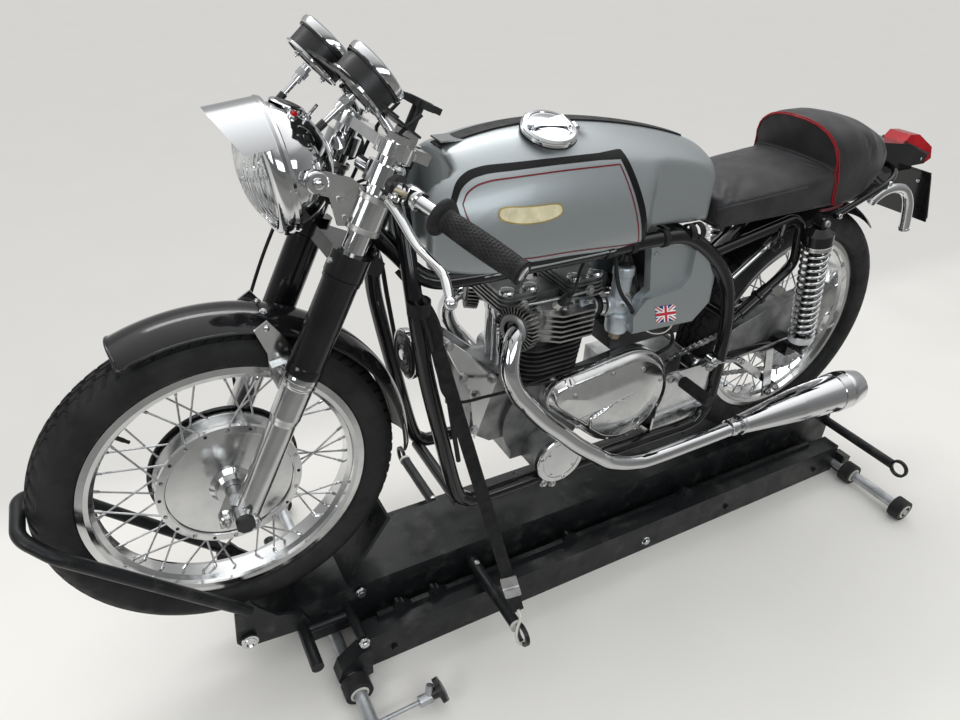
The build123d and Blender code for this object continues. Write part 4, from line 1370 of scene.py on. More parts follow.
def make_badge():
    """Plain cartouche: a cream plaque with a gold edge."""
    middle = seen_on("fuel_tank", *BADGE_PIXEL)
    left_end = seen_on("fuel_tank", *BADGE_FRONT_PIXEL)
    right_end = seen_on("fuel_tank", *BADGE_REAR_PIXEL)
    half = (left_end.x - right_end.x) / 2
    slope = (right_end.z - left_end.z) / (right_end.x - left_end.x)
    for side, name in SIDES:
        for layer, grow, lift, material in (("edge", 2.2, 1.0, badge_gold), ("face", 0.0, 1.5, badge_cream)):
            bm = bmesh.new()
            top = []
            low = []
            steps = 40
            for k in range(steps + 1):
                share = -1 + 2 * k / steps
                x = middle.x + share * (half + grow)
                rise = slope * (x - middle.x)
                round_end = sqrt(max(0.0, 1 - abs(share) ** 6))
                high = 11.0 * round_end + 3.5 * abs(share) ** 2 + grow
                down = 6.0 * round_end + 9.0 * (1 - share * share) + grow
                top.append(flank_point("fuel_tank", x, middle.z + rise + high, side, lift))
                low.append(flank_point("fuel_tank", x, middle.z + rise - down, side, lift))
            rows = []
            for share in (0.0, 0.25, 0.5, 0.75, 1.0):
                row = []
                for a, b in zip(top, low):
                    guess = a.lerp(b, share)
                    local = (guess - ORIGIN) / MM
                    row.append(bm.verts.new(flank_point("fuel_tank", local.x, local.z, side, lift)))
                rows.append(row)
            join_rows(bm, rows, False)
            add_mesh(f"tank_badge_{layer}_{name}", bm, material, "chassis")


def make_filler():
    """Gasket, bevelled rim, domed lid and the flat leaf lever of the quick-action cap."""
    lean = radians(-19.5)
    axis = Vector((0, -sin(lean), cos(lean)))
    across = Vector((0, cos(lean), sin(lean)))
    seat = at(818, 56, 914)
    add_lathe(
        "filler_gasket", [(43, 3.0), (50.5, 3.2), (52.0, 5.0), (51.4, 7.0), (47, 7.4)], seat, axis, rubber,
        "cap", 96,
    )
    add_lathe(
        "filler_ring",
        [(47.5, 9), (50.4, 11.5), (50.2, 15), (46.5, 18.2), (40, 19.2), (38.5, 17.4), (36, 17.0)], seat,
        axis, chrome, "cap", 96,
    )
    add_lathe("filler_dome", [(37.5, 17.2), (26, 19.6), (12, 20.8), (0, 21.0)], seat, axis, chrome, "cap", 96)
    # The leaf runs from the hinge side to a thumb end at the front
    leaf = []
    for k in range(25):
        share = k / 24
        leaf.append((-34 + 76 * share, 4.2 + 13.5 * (1 - share) ** 1.4))
    outline = [(x, -y) for x, y in leaf] + [(x, y) for x, y in reversed(leaf)]
    add_plate(
        "filler_leaf", outline, seat + axis * 0.0212, Vector((1, 0, 0)), across, 3.2, chrome, "cap", 1.0,
    )
    add_lathe(
        "filler_leaf_pin", [(0, -16), (3, -16), (3, 16), (0, 16)], seat + axis * 0.023 + AHEAD * -0.030,
        across, steel, "cap", 16,
    )
    add_lathe(
        "filler_thumb", [(0, 0), (6.5, 0), (6.5, 3.2), (5, 4.6), (0, 4.8)],
        seat + axis * 0.021 + AHEAD * 0.040, axis, chrome, "cap", 24,
    )
    ring = [(44.5, -1), (46.5, 0), (46.5, 2.6), (44.5, 3.4)]
    add_lathe("filler_neck_ring", ring, seat, axis, steel, "chassis", 96)


def make_tank_trim():
    """Buckle of the strap and the seam along the tank's foot."""
    point = from_above("tank_strap", 985, 0)[0]
    add_plate(
        "strap_buckle", [(-20, -21), (20, -21), (20, 21), (-20, 21)], point, AHEAD, LEFT, 2.6, chrome,
        "chassis", 0.9,
    )
    for side_sign, name in SIDES:
        lift = Vector((0, side_sign * 0.0008, 0))
        edge = [from_side("fuel_tank", x, SEAM_Z, side_sign)[0] + lift for x in range(1050, 614, -24)]
        add_tube("tank_seam_" + name, edge, 2.2, silver, "chassis")


make_tank_shell()
make_coach_lines()
make_badge()
make_filler()
make_tank_trim()


# Seat and tail

PAD_HALF = 121.0
PAD_ROWS = [
    # x, foot, top of the side wall, share of the full width
    (423, 706, 736, 0.90), (414, 700, 741, 0.97), (390, 698, 745, 1.0), (280, 696, 750, 1.0),
    (180, 696, 756, 1.0), (95, 698, 762, 1.0), (20, 704, 764, 0.98),
]
PAD_CROWN = [(1.0, 0.0), (0.965, 9.0), (0.88, 17.0), (0.70, 21.0), (0.40, 23.5), (0.0, 25.0)]
ARCH_FOOT_X = 69.0
ARCH_FOOT_Z = 690.0
ARCH_LEAN = 0.28
ARCH_POWER = 2.6
ARCH_STEPS = 12
HUMP_ROWS = [
    # distance behind the arch, half width, foot, top, share of the arch's lean
    (0, 120, 694, 872, 1.0), (22, 121, 694, 877, 0.95), (70, 119, 698, 877, 0.8), (125, 112, 712, 864, 0.55),
    (172, 98, 730, 838, 0.3), (205, 78, 744, 806, 0.1), (218, 54, 752, 782, 0.0),
]
SEAT_VOXEL = 0.005
SEAT_PRESSURE = 4.0
SEAT_FRAMES = 20
SEAT_CAP = 0.006
SEAM_HOLD = 0.007
SLOT_Y = 18.0
SLOT_DEPTH = 30.0
SLOT_BACK_X = 352
SLOT_LENGTH = 76
STAY_Y = 128
LENS_OUTLINE = [(-262, 782), (-280, 799), (-316, 796), (-386, 758), (-400, 727), (-376, 716), (-380, 738)]
piping_dark = make_plain("dark_red_trim", (0.10, 0.008, 0.014), rough=0.5)


def skin(bm, rows):
    """Closed shape through rows of like point lists, with a flat cap at each end."""
    rings = [[bm.verts.new(at(*point)) for point in row] for row in rows]
    join_rows(bm, rings)
    bm.faces.new(list(reversed(rings[0])))
    bm.faces.new(rings[-1])


def pad_section(x, foot, side_top, share):
    """Outline of the pad at one station, from its left foot over the top to its right foot."""
    half = PAD_HALF * share
    near = [(x, half * part, side_top + rise) for part, rise in PAD_CROWN]
    far = [(x, -y, z) for _, y, z in reversed(near[:-1])]
    return [(x, half - 5, foot)] + near + far + [(x, 5 - half, foot)]


def arch_line(half, spring, top):
    """Half of the arch from its spring at the side up to the top: (y, z)."""
    points = []
    for k in range(ARCH_STEPS + 1):
        angle = pi / 2 * k / ARCH_STEPS
        y = half * cos(angle) ** (2 / ARCH_POWER)
        z = spring + (top - spring) * sin(angle) ** (2 / ARCH_POWER)
        points.append((y, z))
    return points


def hump_section(behind, half, foot, top, lean):
    """Outline of the hump at one distance behind the arch."""
    spring = foot + (top - foot) * 0.46
    side = [(half - 4, foot)] + arch_line(half, spring, top)
    line = side + [(-y, z) for y, z in reversed(side[:-1])]
    return [(ARCH_FOOT_X - behind + ARCH_LEAN * lean * (z - ARCH_FOOT_Z), y, z) for y, z in line]


def arch_edge(grow=0.0):
    """Points of the arch where the front of the hump meets its back, from the left foot to the right."""
    half, foot, top = HUMP_ROWS[0][1:4]
    spring = foot + (top - foot) * 0.46
    side = [(half, foot), (half, (foot + spring) / 2)] + arch_line(half, spring, top)
    line = side + [(-y, z) for y, z in reversed(side[:-1])]
    return [at(ARCH_FOOT_X + grow + ARCH_LEAN * (z - ARCH_FOOT_Z), y, z) for y, z in line]


def side_seam(side):
    """Points of the seam between the pad's top and its side wall."""
    return [at(x, side * PAD_HALF * share, top) for x, _, top, share in PAD_ROWS if x > 100]


def face_seam():
    """Points of the seam between the pad and the front of the hump."""
    line = []
    for k in range(-8, 9):
        y = PAD_HALF * 0.97 * k / 8
        z = 762 + 25 * (1 - abs(k / 8) ** 2.4)
        line.append(at(ARCH_FOOT_X + 1 + ARCH_LEAN * (z - ARCH_FOOT_Z), y, z))
    return line


def near_line(point, line, reach):
    """Whether a point is within reach of any point of a line."""
    return any((point - q).length < reach for q in line)


def fill_seat(seat):
    """Blows the cover up a little between its seams, as foam does under stretched vinyl."""
    held = []
    for seam in (arch_edge(), side_seam(1), side_seam(-1), face_seam()):
        held += smooth_line(seam)
    rest = [v.co.copy() for v in seat.data.vertices]
    floor_line = ARCH_FOOT_Z + 16
    pinned = []
    for k, co in enumerate(rest):
        height = (co.z - ORIGIN.z) / MM
        if height < floor_line or near_line(co, held, SEAM_HOLD):
            pinned.append(k)
    group = seat.vertex_groups.new(name="seams")
    group.add(pinned, 1.0, "REPLACE")
    cloth = seat.modifiers.new("cover", "CLOTH")
    cloth.settings.vertex_group_mass = "seams"
    cloth.settings.use_pressure = True
    cloth.settings.uniform_pressure_force = SEAT_PRESSURE
    cloth.settings.effector_weights.gravity = 0.0
    cloth.settings.tension_stiffness = 12.0
    cloth.settings.compression_stiffness = 12.0
    scene = bpy.context.scene
    for step in range(1, SEAT_FRAMES + 1):
        scene.frame_set(step)
    shaped = seat.evaluated_get(bpy.context.evaluated_depsgraph_get()).to_mesh()
    moved = [v.co.copy() for v in shaped.vertices]
    seat.evaluated_get(bpy.context.evaluated_depsgraph_get()).to_mesh_clear()
    seat.modifiers.remove(cloth)
    seat.vertex_groups.remove(group)
    scene.frame_set(1)
    for vertex, old, new in zip(seat.data.vertices, rest, moved):
        step = new - old
        if step.length > SEAT_CAP:
            step = step.normalized() * SEAT_CAP
        vertex.co = old + step


def smooth_line(points, gap=0.005):
    """The same line with points no further apart than a gap."""
    result = []
    for a, b in zip(points, points[1:]):
        count = max(1, int((b - a).length / gap))
        result += [a.lerp(b, k / count) for k in range(count)]
    return result + [points[-1]]


def sink_front_slot(seat):
    """Wedge-shaped opening in the middle of the pad's front edge, over the tank's strap."""
    for vertex in seat.data.vertices:
        local = (vertex.co - ORIGIN) / MM
        reach = (local.x - SLOT_BACK_X) / SLOT_LENGTH
        width = 30.0 * reach
        inside = width - abs(local.y - SLOT_Y)
        if reach > 0 and inside > 0 and local.z > 735:
            vertex.co.z -= SLOT_DEPTH * MM * min(1.0, inside / 5.0)


def stick_to(tree, points, lift):
    """Moves points onto a surface and lifts them off it a little."""
    result = []
    for point in points:
        hit, normal, _, _ = tree.find_nearest(point)
        result.append(hit + normal * lift * MM)
    return result


def make_seat():
    bm = bmesh.new()
    skin(bm, [pad_section(*row) for row in PAD_ROWS])
    skin(bm, [hump_section(*row) for row in HUMP_ROWS])
    bmesh.ops.recalc_face_normals(bm, faces=bm.faces)
    seat = add_mesh("seat_cover", bm, leather, "chassis")
    remesh = seat.modifiers.new("even", "REMESH")
    remesh.mode = "VOXEL"
    remesh.voxel_size = SEAT_VOXEL
    smooth = seat.modifiers.new("soft", "SMOOTH")
    smooth.factor = 0.5
    smooth.iterations = 5
    apply_modifiers(seat)
    fill_seat(seat)
    subdivision = seat.modifiers.new("finer", "SUBSURF")
    subdivision.levels = 1
    subdivision.render_levels = 1
    apply_modifiers(seat)
    sink_front_slot(seat)
    for face in seat.data.polygons:
        face.use_smooth = True
    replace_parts(seat, "seat")
    return seat


def apply_modifiers(piece):
    """Writes what the modifiers make into the piece's own mesh."""
    graph = bpy.context.evaluated_depsgraph_get()
    shaped = bpy.data.meshes.new_from_object(piece.evaluated_get(graph))
    old = piece.data
    piece.modifiers.clear()
    piece.data = shaped
    shaped.name = old.name
    bpy.data.meshes.remove(old)


def make_seat_trim(seat):
    """Double red piping round the arch, with a dark strip between, and black piping along the pad."""
    tree = tree_of(seat.data)
    for name, shift, radius, material in (
        ("front", 4.4, 1.7, piping_red), ("middle", 0.4, 1.2, piping_dark), ("back", -4.0, 1.7, piping_red),
    ):
        line = stick_to(tree, smooth_line(arch_edge(shift), 0.02), 1.0)
        add_tube("seat_piping_" + name, line, radius, material, "chassis")
    for side, name in SIDES:
        add_tube(
            "seat_edge_" + name, stick_to(tree, smooth_line(side_seam(side), 0.03), 0.3), 2.3, leather,
            "chassis",
        )
        tail_trim = [at(x, side * 119, z) for x, z in ((112, 692), (90, 691), (66, 692), (40, 697))]
        add_tube("seat_foot_trim_" + name, tail_trim, 3.2, piping_dark, "chassis")
        hem = [at(x, side * (PAD_HALF - 3), 699) for x in range(412, 100, -40)]
        add_tube("seat_hem_" + name, stick_to(tree, hem, 0.2), 2.0, leather, "chassis")
    add_tube("seat_face_seam", stick_to(tree, face_seam(), 0.2), 1.5, leather, "chassis")
    base = [(416, -112), (416, 112), (-60, 112), (-150, 70), (-150, -70), (-60, -112)]
    add_plate("seat_base", base, at(0, 0, 696), AHEAD, LEFT, 5.0, dark_plastic, "chassis", 2.0)


def side_prism(name, outline, half, material, body, bevel):
    """Rounded block across the machine with an outline in (x, z)."""
    bm = bmesh.new()
    prism(bm, outline, on_plane(at(0, -half, 0), AHEAD, UP), -2 * half)
    bevelled(bm, bevel, 3)
    return add_mesh(name, bm, material, body)


def make_tail():
    lens = side_prism("tail_lens", LENS_OUTLINE, 29.5, lens_red, "chassis", 4.0)
    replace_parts(lens, "tail_lamp")
    # Bead of the lens against its housing, and the clear strip over the number plate
    for side, name in SIDES:
        rim_line = [at(x, side * 30.5, z) for x, z in ((-262, 784), (-322, 762), (-381, 741))]
        add_tube("lens_bead_" + name, rim_line, 2.0, dark_plastic, "chassis")
        screws = [(at(-300, side * 30, 752), LEFT * side), (at(-356, side * 30, 731), LEFT * side)]
        add_fasteners("lens_screws_" + name, screws, 3.4, chrome, "chassis", "slot")
    add_block("lens_clear_strip", (-392, -26, 739), (-386, 26, 749), white_plastic, "chassis", 1.2)
    # Number plate: blank, with a folded edge and two bolts
    lean = Vector((62, 0, 138)).normalized()
    across = LEFT
    outward = across.cross(lean)
    outline = rounded_rectangle(91, 71, 9)
    middle = at(-347.5, 0, 647)
    add_plate(
        "number_plate", outline, middle + outward * -0.0025, across, lean, 4.6, gloss_black, "chassis", 1.2,
    )
    border = [
        middle + across * x * MM + lean * y * MM - outward * 0.0025
        for x, y in rounded_rectangle(86, 66, 8)
    ]
    add_tube("plate_border", border, 1.2, gloss_black, "chassis", closed=True)
    bolts = [
        (middle + across * x * MM + lean * y * MM + outward * 0.002, outward)
        for x, y in ((-60, 45), (60, 45))
    ]
    back = [(point - outward * 0.0045, -outward) for point, _ in bolts]
    add_fasteners("plate_bolts", bolts + back, 5.0, chrome, "chassis", "dome")
    # Black stays up to the housing and the bent chrome tube on the left
    for side, name in SIDES:
        stay = add_pipe("tail_stay_" + name, [
            (67, side * STAY_Y, 676), (-20, side * STAY_Y, 706), (-93, side * STAY_Y, 735),
            (-150, side * 97, 745), (-200, side * 40, 740),
        ], 7.0, gloss_black, "chassis")
        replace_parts(stay, "tail_stays")
    tube = [(-48, 694), (-80, 712), (-125, 716), (-165, 704), (-196, 672), (-212, 632), (-221, 601)]
    bent = add_pipe("tail_tube", [(x, STAY_Y, z) for x, z in tube], 12.0, chrome, "chassis")
    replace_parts(bent, "tail_stays")
    # Ends of the stays: bolts, and a chrome ring on the end of the bent tube
    for side, name in SIDES:
        sites = [(at(62, side * 136, 678), LEFT * side), (at(-86, side * 136, 733), LEFT * side)]
        add_fasteners("stay_bolts_" + name, sites, 6.5, chrome, "chassis", "dome")
    tube_end = at(-221, STAY_Y, 601)
    direction = (tube_end - at(-180, STAY_Y, 690)).normalized()
    add_lathe(
        "stay_tube_end", [(8.5, -2), (13.2, -2), (13.2, 2.5), (9.5, 3.0), (8.5, 0)], tube_end, direction,
        chrome, "chassis", 32,
    )
    # Wiring under the lamp housing
    for k, (drop, swing) in enumerate(((26, 8), (34, -6))):
        loop = [
            (-170, 20 + swing, 722), (-196, 44 + swing, 722 - drop), (-232, 40, 716 - drop),
            (-262, 30, 718),
        ]
        add_tube(f"tail_wire_{k}", [at(*p) for p in loop], 2.6, rubber, "chassis")


def rounded_rectangle(half_x, half_y, corner, steps=6):
    """Outline of a rectangle with round corners."""
    points = []
    for cx, cy, turn in ((1, 1, 0), (-1, 1, 90), (-1, -1, 180), (1, -1, 270)):
        for k in range(steps + 1):
            angle = radians(turn + 90 * k / steps)
            points.append((
                cx * (half_x - corner) + corner * cos(angle), cy * (half_y - corner) + corner * sin(angle),
            ))
    return points


seat_cover = make_seat()
make_seat_trim(seat_cover)
make_tail()


# Engine, gearbox, carburettors and exhaust

CLUTCH = (572.0, 308.0, 120.0)
NOSE = (745.0, 362.0, 45.0)
COVER_WALL_Y = 62.0
COVER_RIM_Y = 94.0
COVER_DOME = 19.0
COVER_STEPS = 240
COVER_RINGS = 56
WEDGE = [
    (560, 328), (642, 309), (725, 289), (742, 262), (700, 236), (672, 252), (672, 280), (652, 293),
    (615, 317),
]
COVER_SCREWS = (
    ("screws", 6.0, ((726, 366), (628, 394), (546, 384))),
    ("rim_screws", 5.0, ((486, 338), (478, 262), (520, 206), (610, 203), (700, 262))),
)
CARB_FRONT = Vector((706, 60, 553))
CARB_BACK = Vector((528, 60, 528))
CARB_RUN = 178.0
ROSE_FINS = 34
LOW_COVER_AT = (762, 131, 219)
PIPE_R = 19.0
PIPE_LINE = [
    (872, 97, 563), (897, 116, 548), (914, 138, 500), (899, 146, 450), (868, 150, 406), (832, 153, 362),
    (790, 155, 320), (742, 158, 272), (691, 160, 229), (654, 160, 198), (614, 160, 178), (572, 162, 166),
    (527, 165, 162), (400, 168, 166), (253, 170, 171), (235, 170, 171),
]

PLATE_FIXINGS = (
    (1004, 534), (972, 452), (940, 400), (946, 312), (905, 430), (458, 333), (338, 333), (345, 232),
)


def acos_clamped(value):
    """Arc cosine that bears a value a hair over 1."""
    return atan2(sqrt(max(0.0, 1 - value * value)), value)


def straight(start, end, count):
    """Points on the way from start to end, without the end."""
    (x1, z1), (x2, z2) = start, end
    return [(x1 + (x2 - x1) * k / count, z1 + (z2 - z1) * k / count) for k in range(count)]


def teardrop(share):
    """Ring of the teardrop outline, with both of its circles shrunk to a share."""
    x1, z1, r1 = CLUTCH
    x2, z2, r2 = NOSE
    r1, r2 = r1 * share, r2 * share
    heading = atan2(z2 - z1, x2 - x1)
    run = sqrt((x2 - x1) ** 2 + (z2 - z1) ** 2)
    half = acos_clamped((r1 - r2) / run)
    points = []
    quarter = COVER_STEPS // 4
    for k in range(quarter):
        angle = heading - half + 2 * half * k / quarter
        points.append((x2 + r2 * cos(angle), z2 + r2 * sin(angle)))
    start = (x2 + r2 * cos(heading + half), z2 + r2 * sin(heading + half))
    end = (x1 + r1 * cos(heading + half), z1 + r1 * sin(heading + half))
    points += straight(start, end, quarter)
    for k in range(quarter):
        angle = heading + half + (2 * pi - 2 * half) * k / quarter
        points.append((x1 + r1 * cos(angle), z1 + r1 * sin(angle)))
    start = (x1 + r1 * cos(heading - half), z1 + r1 * sin(heading - half))
    end = (x2 + r2 * cos(heading - half), z2 + r2 * sin(heading - half))
    points += straight(start, end, quarter)
    return points


def depth_inside(point, outline):
    """Distance from a point to an outline, positive inside it."""
    inside = False
    nearest = 1e9
    for (x1, z1), (x2, z2) in zip(outline, outline[1:] + outline[:1]):
        if (z1 > point[1]) != (z2 > point[1]) and point[0] < (x2 - x1) * (point[1] - z1) / (z2 - z1) + x1:
            inside = not inside
        run = (x2 - x1) ** 2 + (z2 - z1) ** 2
        share = max(0.0, min(1.0, ((point[0] - x1) * (x2 - x1) + (point[1] - z1) * (z2 - z1)) / run))
        dx = point[0] - x1 - share * (x2 - x1)
        dz = point[1] - z1 - share * (z2 - z1)
        nearest = min(nearest, dx ** 2 + dz ** 2)
    return sqrt(nearest) if inside else -sqrt(nearest)


def ease(value):
    """Smooth step from 0 to 1."""
    value = max(0.0, min(1.0, value))
    return value * value * (3 - 2 * value)


def cover_height(x, z, edge):
    """How far the primary cover's face stands out over its rim."""
    shoulder = sin(pi / 2 * max(0.0, min(1.0, (edge - 5) / 16)))
    rise = COVER_DOME * (0.72 * shoulder + 0.28 * ease((edge - 14) / 60))
    groove = depth_inside((x, z), WEDGE)
    return rise - 7.0 * ease((groove + 0.5) / 3.0)


def make_primary_cover():
    bm = bmesh.new()
    outline = teardrop(1.0)
    rings = []
    wall = (
        (COVER_WALL_Y, 0.0), (COVER_RIM_Y - 11, 0.0), (COVER_RIM_Y - 10.4, -0.9), (COVER_RIM_Y - 9.8, 0.0),
        (COVER_RIM_Y - 2, 0.0), (COVER_RIM_Y, -1.6),
    )
    for y, grow in wall:
        rings.append([bm.verts.new(at(x, y, z)) for x, z in teardrop(1.0 + grow / 90)])
    for ring in range(1, COVER_RINGS):
        share = 1.0 - ring / COVER_RINGS
        row = []
        for x, z in teardrop(share):
            edge = depth_inside((x, z), outline)
            row.append(bm.verts.new(at(x, COVER_RIM_Y + cover_height(x, z, edge), z)))
        rings.append(row)
    join_rows(bm, rings)
    bm.faces.new(rings[-1])
    bm.faces.new(list(reversed(rings[0])))
    cover = add_mesh("primary_cover_shell", bm, polished, "chassis", radians(50))
    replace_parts(cover, "primary_cover")
    tree = tree_of(cover.data)

    def on_cover(x, z):
        hit, normal, _, _ = tree.ray_cast(at(x, 400, z), RIGHT)
        return (hit, normal) if hit else (at(x, COVER_RIM_Y, z), LEFT)

    for part, radius, sites in COVER_SCREWS:
        add_fasteners("primary_" + part, [on_cover(x, z) for x, z in sites], radius, steel, "chassis", "slot")
    for name, x, z, radius in (("chain_plug", 540, 241, 14.0), ("filler_plug", 738, 398, 12.0)):
        point, normal = on_cover(x, z)
        add_lathe(
            "primary_" + name,
            [
                (radius, -2), (radius, 2.0), (radius - 1.5, 3.2), (radius - 3, 3.2), (radius - 3.6, 2.4),
                (0, 2.4),
            ],
            point, normal, polished, "chassis", 48,
        )
        # Dark bar of painted shade in the plug's slot
        slot_place = axes_along(point + normal * 0.0022, normal)
        bar = bmesh.new()
        prism(bar, rounded_rectangle(1.6, radius * 0.6, 1.2, 3), slot_place, 0.5)
        add_mesh("primary_slot_shade_" + name, bar, dark_plastic, "chassis")


def make_round_cover():
    """Blank round cover low on the left of the crankcase: rim, recessed face, screws and two bolts."""
    middle = at(*LOW_COVER_AT)
    add_lathe(
        "low_cover",
        [
            (40, -18), (42, -2.6), (58, -2.4), (60, -1.4), (60, 0.6), (58, 2.4), (47.5, 2.8), (45.8, 1.6),
            (45.2, 1.6), (44.6, 2.4), (20, 3.4), (0, 3.6),
        ],
        middle, LEFT, polished, "chassis", 96,
    )
    screws = [(p + LEFT * 0.0024, LEFT) for p in ring_of(4, 39.5, middle, LEFT, 0.6)]
    add_fasteners("low_cover_screws", screws, 3.0, steel, "chassis", "slot")
    rim = [(p + LEFT * 0.0022, LEFT) for p in ring_of(3, 53.0, middle, LEFT, 0.35)]
    add_fasteners("low_cover_bolts", rim, 4.5, chrome, "chassis", "dome")
    for k, (x, z) in enumerate(((800, 163), (776, 154))):
        add_lathe(
            f"low_cover_lug_{k}", [(9, -30), (10, -28), (10, 0), (8, 1.5), (0, 1.5)], at(x, 130, z), LEFT,
            satin_alloy, "chassis", 32,
        )
        add_fasteners(f"low_cover_lug_bolt_{k}", [(at(x, 131.5, z), LEFT)], 6.0, chrome, "chassis", "dome")


def make_rocker_caps():
    """Round inspection caps on both rocker boxes and the studs that hold the boxes down."""
    studs = []
    for x in (696, 852):
        for side_sign in SIDE_SIGNS:
            for shift in (-26, 26):
                point = at(x + shift, side_sign * 52, 618)
                add_lathe(f"rocker_cap_{x}_{side_sign + 1}_{shift + 26}", [
                    (0, -2), (15.5, -2), (16, 3), (14, 6.5), (9, 8.2), (0, 8.8),
                ], point, UP, polished, "chassis", 32)
            studs.append((at(x, side_sign * 60, 618.5), UP))
            for shift in (-38, 38):
                studs.append((at(x + shift, side_sign * 68, 577), sideways(side_sign)))
    add_fasteners("rocker_studs", studs, 5.0, steel, "chassis", "stud")
    # Chromed oil pipe across the rocker spindles
    feed = ((852, 74, 596), (812, 84, 600), (736, 84, 600), (696, 74, 596))
    for side_sign, name in SIDES:
        add_tube("rocker_feed_" + name, [at(x, side_sign * y, z) for x, y, z in feed], 3.0, steel, "chassis")
        ends = [(at(x, side_sign * 72, 596), sideways(side_sign)) for x in (852, 696)]
        add_fasteners("rocker_spindles_" + name, ends, 8.0, steel, "chassis", "hex")


def make_plugs():
    """Spark plugs beside the rocker boxes, their black caps and leads up under the tank."""
    for side_sign, name in SIDES:
        direction = Vector((-0.12, side_sign * 0.62, 0.78)).normalized()
        foot = at(772, side_sign * 72, 574)
        add_lathe("plug_" + name, [
            (0, -2), (10.5, -2), (10.5, 3), (9, 3), (9, 12), (6, 14), (5.4, 24), (0, 24),
        ], foot, direction, white_plastic, "chassis", 6)
        add_lathe(
            "plug_cap_" + name, [(0, 18), (9, 18), (10, 22), (8.6, 44), (7, 48), (0, 48)], foot, direction,
            dark_plastic, "chassis", 24,
        )
        top = foot + direction * 0.046
        lead = [
            top, top + direction * 0.020, at(744, side_sign * 96, 655), at(700, side_sign * 70, 682),
            at(640, side_sign * 40, 690),
        ]
        add_tube("plug_lead_" + name, lead, 3.4, rubber, "chassis")
    for x in (676, 872):
        for side_sign in SIDE_SIGNS:
            base = at(x if x > 770 else x + 10, side_sign * 14, 402)
            add_lathe(f"pushrod_tube_{x}_{side_sign + 1}", [
                (0, 0), (16, 0), (16, 10), (12.5, 13), (12.5, 150), (15, 154), (15, 174), (0, 174),
            ], base, UP, chrome, "chassis", 32)


def carb_at(along, side_sign):
    """Point on a carburettor's bore: along is measured back from the head."""
    point = CARB_FRONT.lerp(CARB_BACK, along / CARB_RUN)
    return at(point.x, side_sign * point.y, point.z)


def make_carburettor(side_sign, name):
    """Stub, hose, throat, chamber and bowl, with the screws, the banjo, the fuel hose and the cable."""
    pieces = []
    bore = (carb_at(100, side_sign) - carb_at(0, side_sign)).normalized()
    side = sideways(side_sign)
    upright = Vector((-0.02, 0, 1)).normalized()

    def turn(part, profile, origin, direction, material, segments=48):
        pieces.append(
            add_lathe(f"carb_{part}_{name}", profile, origin, direction, material, "chassis", segments)
        )

    turn(
        "stub", [(0, -16), (25, -14), (24, 4), (20, 18), (18.5, 34), (0, 34)], carb_at(0, side_sign), bore,
        carb_alloy,
    )
    turn(
        "sleeve", [(17, 0), (20, 1), (20.6, 5), (19, 7), (19, 17), (20.6, 19), (20.6, 23), (17, 24)],
        carb_at(34, side_sign), bore, rubber,
    )
    turn(
        "clamp_ring", [(20.8, 0), (22.6, 0.4), (22.6, 8.4), (20.8, 8.8)], carb_at(44, side_sign), bore,
        chrome,
    )
    turn(
        "throat",
        [
            (0, 0), (21, 0), (23, 3), (23, 14), (20, 18), (22, 26), (26, 32), (27, 62), (24, 72), (21, 86),
            (0, 90),
        ],
        carb_at(60, side_sign), bore, carb_alloy,
    )
    turn(
        "bellmouth",
        [
            (14, 0), (22, 0), (22.5, 4), (19.5, 8), (19.5, 20), (23, 27), (26.5, 31), (27, 33), (24, 33.5),
            (18, 27), (15.5, 18),
        ],
        carb_at(148, side_sign), bore, chrome,
    )
    centre = carb_at(102, side_sign)
    turn(
        "column",
        [
            (0, -10), (23, -6), (22.5, 20), (20.5, 26), (20.5, 66), (23, 69), (23, 84), (21, 88), (12, 92),
            (0, 93),
        ],
        centre, upright, carb_alloy,
    )
    turn(
        "column_cap", [(0, 88), (17, 88), (17, 93), (9, 100), (6, 112), (0, 112)], centre, upright,
        dark_plastic, 32,
    )
    turn("bowl", [
        (0, 14), (23, 15), (27, 20), (27.5, 26), (25.5, 28), (25.5, 54), (23, 62), (16, 66), (0, 67),
    ], centre + side * 0.004, -UP, carb_alloy)
    turn(
        "bowl_ring", [(25.6, 22), (29, 22.6), (29, 27), (25.6, 27.6)], centre + side * 0.004, -UP,
        carb_alloy,
    )
    turn(
        "bowl_nut", [(0, 66), (12, 66), (13, 69), (13, 80), (10, 83), (0, 83)], centre + side * 0.004, -UP,
        brass, 6,
    )
    for piece in pieces:
        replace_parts(piece, "carburettors")
    # Stop screw, pilot screw, fuel banjo and the cable out of the cap
    sites = [
        (centre + side * 0.024 + bore * dx * MM + UP * dz * MM, side)
        for dx, dz in ((-8, 8), (10, -4), (4, 30))
    ]
    add_fasteners("carb_screws_" + name, sites, 3.6, brass, "chassis", "slot")
    banjo = centre + side * 0.030 + bore * 0.008 - UP * 0.034
    add_lathe(
        "carb_banjo_" + name, [(0, -4), (7.5, -4), (8, 0), (7.5, 8), (5, 10), (0, 10)], banjo, side, steel,
        "chassis", 6,
    )
    hose = [
        banjo + side * 0.004, banjo + side * 0.014 + UP * 0.022, at(640, side_sign * 96, 600),
        at(650, side_sign * 74, 700),
    ]
    add_tube("fuel_hose_" + name, hose, 4.4, rubber, "chassis")
    top = centre + UP * 0.110
    cable = [
        top, top + UP * 0.030 + bore * -0.004, at(660, side_sign * 40, 688), at(760, side_sign * 26, 698),
    ]
    add_tube("throttle_cable_" + name, cable, 2.6, rubber, "chassis")


